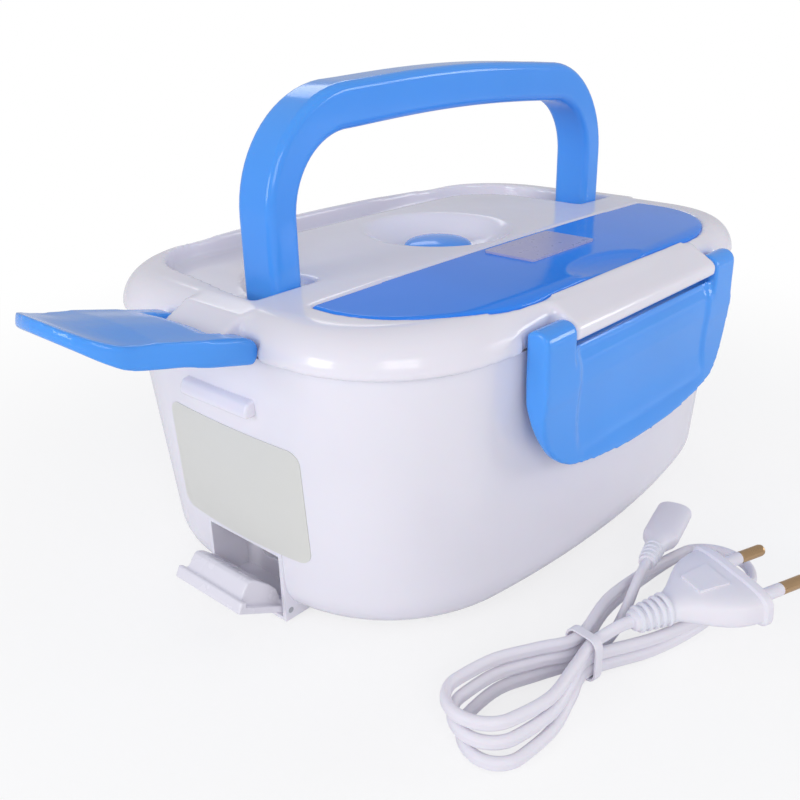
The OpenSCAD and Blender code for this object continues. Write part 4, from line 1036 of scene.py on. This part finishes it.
class LUNCHBOX_OT_body(bpy.types.Operator):
    """Make the body with its catch ledges and inlet opening, and its blank sticker"""
    bl_idname = "lunchbox.body"
    bl_label = "Body"

    def execute(self, context):
        look = materials(context.scene.lunch_box_look)
        stands_for(make_body(), "base", "body_white", look["body_white"], "housing")

        def on_side(u, v, out):
            y, z = u + STICKER_AT[0], v + STICKER_AT[1] + STICKER_LEAN * u
            return body_x(y, z, out), y, z

        label = sticker("blank_sticker", *STICKER, on_side)
        stands_for(label, "base", "blank_label", look["blank_label"], "side_label")
        return {"FINISHED"}


class LUNCHBOX_OT_handle(bpy.types.Operator):
    """Make the carrying handle"""
    bl_idname = "lunchbox.handle"
    bl_label = "Handle"

    def execute(self, context):
        sizes, look = settings(context)
        stands_for(make_handle(sizes), "carry_handle", "clip_blue", look["clip_blue"], "handle")
        return {"FINISHED"}


class LUNCHBOX_OT_latches(bpy.types.Operator):
    """Make the four latches, the near one open"""
    bl_idname = "lunchbox.latches"
    bl_label = "Latches"

    def execute(self, context):
        sizes, look = settings(context)
        long = make_latch(
            "long latch", sizes, LONG_HALF, LONG_ARM, drop=45.5, corner=(21, 20, 3.4),
            face=[(4.5, -16.6), (4.0, -22), (3.8, -28), (4.2, -34), (5.3, -39.5), (7.6, -45.5)],
            back=[(4.8, -45.5), (2.6, -39.5), (1.3, -34), (1.0, -28), (1.1, -22), (1.5, -16.6)],
            rim=[(4.8, -45.5), (2.6, -39.5), (0.8, -31), (-3, -19)],
            hook_half=30, dish=(0.9, 45, 4))
        short = make_latch(
            "short latch", sizes, SHORT_HALF, SHORT_ARM, drop=50.5, corner=(20, 15, 0.4),
            face=[(4.5, -28), (4.1, -33), (4.0, -38), (5.0, -44), (7.2, -50.5)],
            back=[(3.4, -50.5), (1.9, -44), (1.3, -38), (1.4, -33), (1.5, -28)],
            rim=[(3.4, -50.5), (1.4, -46), (-1.0, -40.5), (-2.6, -34), (-2.6, -20)],
            hook_half=12, dish=(-1.2, 22, 20))
        opened = at_side(90, SHORT_PIVOT) @ turn(OPEN_ANGLE, "X")
        for side, made, place in (("front", long, at_side(180, LONG_PIVOT)),
                                  ("back", long, at_side(0, LONG_PIVOT)),
                                  ("left", short, opened),
                                  ("right", short, at_side(270, SHORT_PIVOT))):
            stands_for(duplicate(made, f"latch_{side}_clip", place), f"{side}_latch",
                       "clip_blue", look["clip_blue"], f"latch_{side}")
        for made in (long, short):
            bpy.data.objects.remove(made)
        return {"FINISHED"}


class LUNCHBOX_OT_lid_pieces(bpy.types.Operator):
    """Make the spoon cover, its blank label, the spoon and the vent button"""
    bl_idname = "lunchbox.lid_pieces"
    bl_label = "Pieces on the lid"

    def execute(self, context):
        look = materials(context.scene.lunch_box_look)
        stands_for(make_cover(), "cover", "clip_blue", look["cover_blue"], "spoon_cover")
        label = sticker("blank_cover_label", *COVER_LABEL,
                        lambda u, v, out: (u, v + COVER_LABEL_Y, lid_top(u) + out * 2.6), 40, 24)
        stands_for(label, "cover", "blank_label", look["small_label"], "cover_label")
        spoon = moulded(from_node("steel_spoon", "spoon"), 0.4, 5)
        stands_for(spoon, "cutlery", "tray_steel", look["tray_steel"], "spoon")
        stands_for(make_vent_plug(), "vent", "clip_blue", look["clip_blue"], "vent_plug")
        return {"FINISHED"}


class LUNCHBOX_OT_flap(bpy.types.Operator):
    """Make the inlet's flap"""
    bl_idname = "lunchbox.flap"
    bl_label = "Inlet flap"

    def execute(self, context):
        look = materials(context.scene.lunch_box_look)
        stands_for(make_flap(), "flap", "body_white", look["flap_white"], "inlet_flap")
        return {"FINISHED"}


FITTED = (
    ("inner_tub", "base", "tub_grey", 0.4), ("inlet_cup", "base", "body_white", 0.4),
    ("base_cover", "base", "body_white", 0.3), ("food_tray", "tray", "tray_steel", 0.2),
    ("side_box", "small_box", "box_plastic", 0.3),
    ("side_box_lid", "small_box_lid", "box_lid_plastic", 0.5),
    ("lid_liner", "lid", "tub_grey", 0.4), ("lid_seal", "lid", "seal_rubber", 0.4),
    ("inlet_socket", "base", "body_white", 0.2), ("feet", "base", "foot_rubber", 0.25),
)


class LUNCHBOX_OT_fitted(bpy.types.Operator):
    """Round the edges of the pieces inside the box and under it, and finish the rest as they are"""
    bl_idname = "lunchbox.fitted"
    bl_label = "Fitted pieces"

    def execute(self, context):
        look = materials(context.scene.lunch_box_look)
        for node, body, slot, bevel in FITTED:
            piece = crisp(from_node("fitted_" + node, node), 28, bevel=bevel)
            stands_for(piece, body, slot, look[slot], node)
        for part in frame["record"]["subparts"]:
            give(NODES[part["node"]], look[part["material_slot"]])
        return {"FINISHED"}


def looked_at(tree):
    """1 for a ray from the camera, or one let through, and 0 for the rest."""
    ray = tree.nodes.new("ShaderNodeLightPath").outputs
    return calculated(tree, "MAXIMUM", ray["Is Camera Ray"], ray["Is Transmission Ray"])


def make_floor():
    """White paper that looks whiter with distance, so that it has no edge in the picture."""
    far = 9000
    floor = of_faces("floor", [(-far, -far, 0), (far, -far, 0), (far, far, 0), (-far, far, 0)],
                     [[0, 1, 2, 3]])
    paper = bpy.data.materials.new("white paper")
    paper.use_nodes = True
    tree = paper.node_tree
    shader = feed(tree, tree.nodes["Principled BSDF"], {
        "Base Color": (0.95, 0.95, 0.96, 1), "Roughness": 0.95, "Specular IOR Level": 0.0})
    reach = tree.nodes.new("ShaderNodeVectorMath")
    reach.operation = "LENGTH"
    feed(tree, reach, {0: tree.nodes.new("ShaderNodeTexCoord").outputs["Object"]})
    share = tree.nodes.new("ShaderNodeMapRange")
    share.interpolation_type = "SMOOTHSTEP"
    feed(tree, share, {"Value": reach.outputs["Value"], "From Min": 0.1, "From Max": 0.42,
                       "To Min": 0.72, "To Max": 1.0})
    mix = add(tree, "ShaderNodeMixShader", {
        0: calculated(tree, "MULTIPLY", share.outputs["Result"], looked_at(tree)),
        1: shader.outputs["BSDF"], 2: add(tree, "ShaderNodeEmission", {})})
    feed(tree, tree.nodes["Material Output"], {"Surface": mix})
    give(floor, paper)


def make_lamp(name, place, width, height, power, panes):
    """A window of square panes that faces the object, each pane an area lamp."""
    place = Vector(place)
    aim = (LAMPS_AIM - place).to_track_quat("-Z", "Y").to_matrix()
    for i in range(panes * panes):
        data = bpy.data.lights.new(name, "AREA")
        data.shape = "RECTANGLE"
        data.size, data.size_y = 0.9 * width / panes, 0.9 * height / panes
        data.energy = power / panes ** 2
        step = Vector((((i % panes + 0.5) / panes - 0.5) * width,
                       ((i // panes + 0.5) / panes - 0.5) * height, 0))
        linked(name, data).matrix_world = Matrix.Translation(place + aim @ step) @ aim.to_4x4()


def make_world():
    """Even daylight, and plain white where the camera sees it."""
    world = bpy.data.worlds.new("studio")
    world.use_nodes = True
    tree = world.node_tree
    soft = feed(tree, tree.nodes["Background"], {"Color": (0.96, 0.96, 1.0, 1), "Strength": 0.56})
    white = add(tree, "ShaderNodeBackground", {"Color": (1, 1, 1, 1)})
    pick = add(tree, "ShaderNodeMixShader",
               {0: looked_at(tree), 1: soft.outputs["Background"], 2: white})
    feed(tree, tree.nodes["World Output"], {"Surface": pick})
    return world


class LUNCHBOX_OT_stage(bpy.types.Operator):
    """Make the white floor, the lamps and the world"""
    bl_idname = "lunchbox.stage"
    bl_label = "Stage"

    def execute(self, context):
        make_floor()
        for lamp in LAMPS:
            make_lamp(*lamp)
        context.scene.world = make_world()
        context.scene.view_settings.view_transform = "Standard"
        return {"FINISHED"}


class LUNCHBOX_PT_panel(bpy.types.Panel):
    """Lists the lunch box's pieces"""
    bl_idname = "LUNCHBOX_PT_panel"
    bl_label = "Lunch box"
    bl_space_type = "VIEW_3D"
    bl_region_type = "UI"
    bl_category = "Lunch box"

    def draw(self, context):
        for values in (context.scene.lunch_box_look, context.scene.lunch_box_sizes):
            for name in values.bl_rna.properties.keys():
                if name not in ("rna_type", "name"):
                    self.layout.prop(values, name)
        for operator in OPERATORS:
            self.layout.operator(operator.bl_idname)


OPERATORS = (LUNCHBOX_OT_camera, LUNCHBOX_OT_cord, LUNCHBOX_OT_fitted, LUNCHBOX_OT_lid,
             LUNCHBOX_OT_body, LUNCHBOX_OT_handle, LUNCHBOX_OT_latches, LUNCHBOX_OT_lid_pieces,
             LUNCHBOX_OT_flap, LUNCHBOX_OT_stage)
CLASSES = (LunchBoxLook, LunchBoxSizes, *OPERATORS, LUNCHBOX_PT_panel)


def register():
    for item in CLASSES:
        bpy.utils.register_class(item)
    bpy.types.Scene.lunch_box_look = bpy.props.PointerProperty(type=LunchBoxLook)
    bpy.types.Scene.lunch_box_sizes = bpy.props.PointerProperty(type=LunchBoxSizes)


def unregister():
    del bpy.types.Scene.lunch_box_sizes
    del bpy.types.Scene.lunch_box_look
    for item in reversed(CLASSES):
        bpy.utils.unregister_class(item)


def main():
    register()
    for operator in OPERATORS:
        family, name = operator.bl_idname.split(".")
        getattr(getattr(bpy.ops, family), name)()


if __name__ == "__main__":
    main()
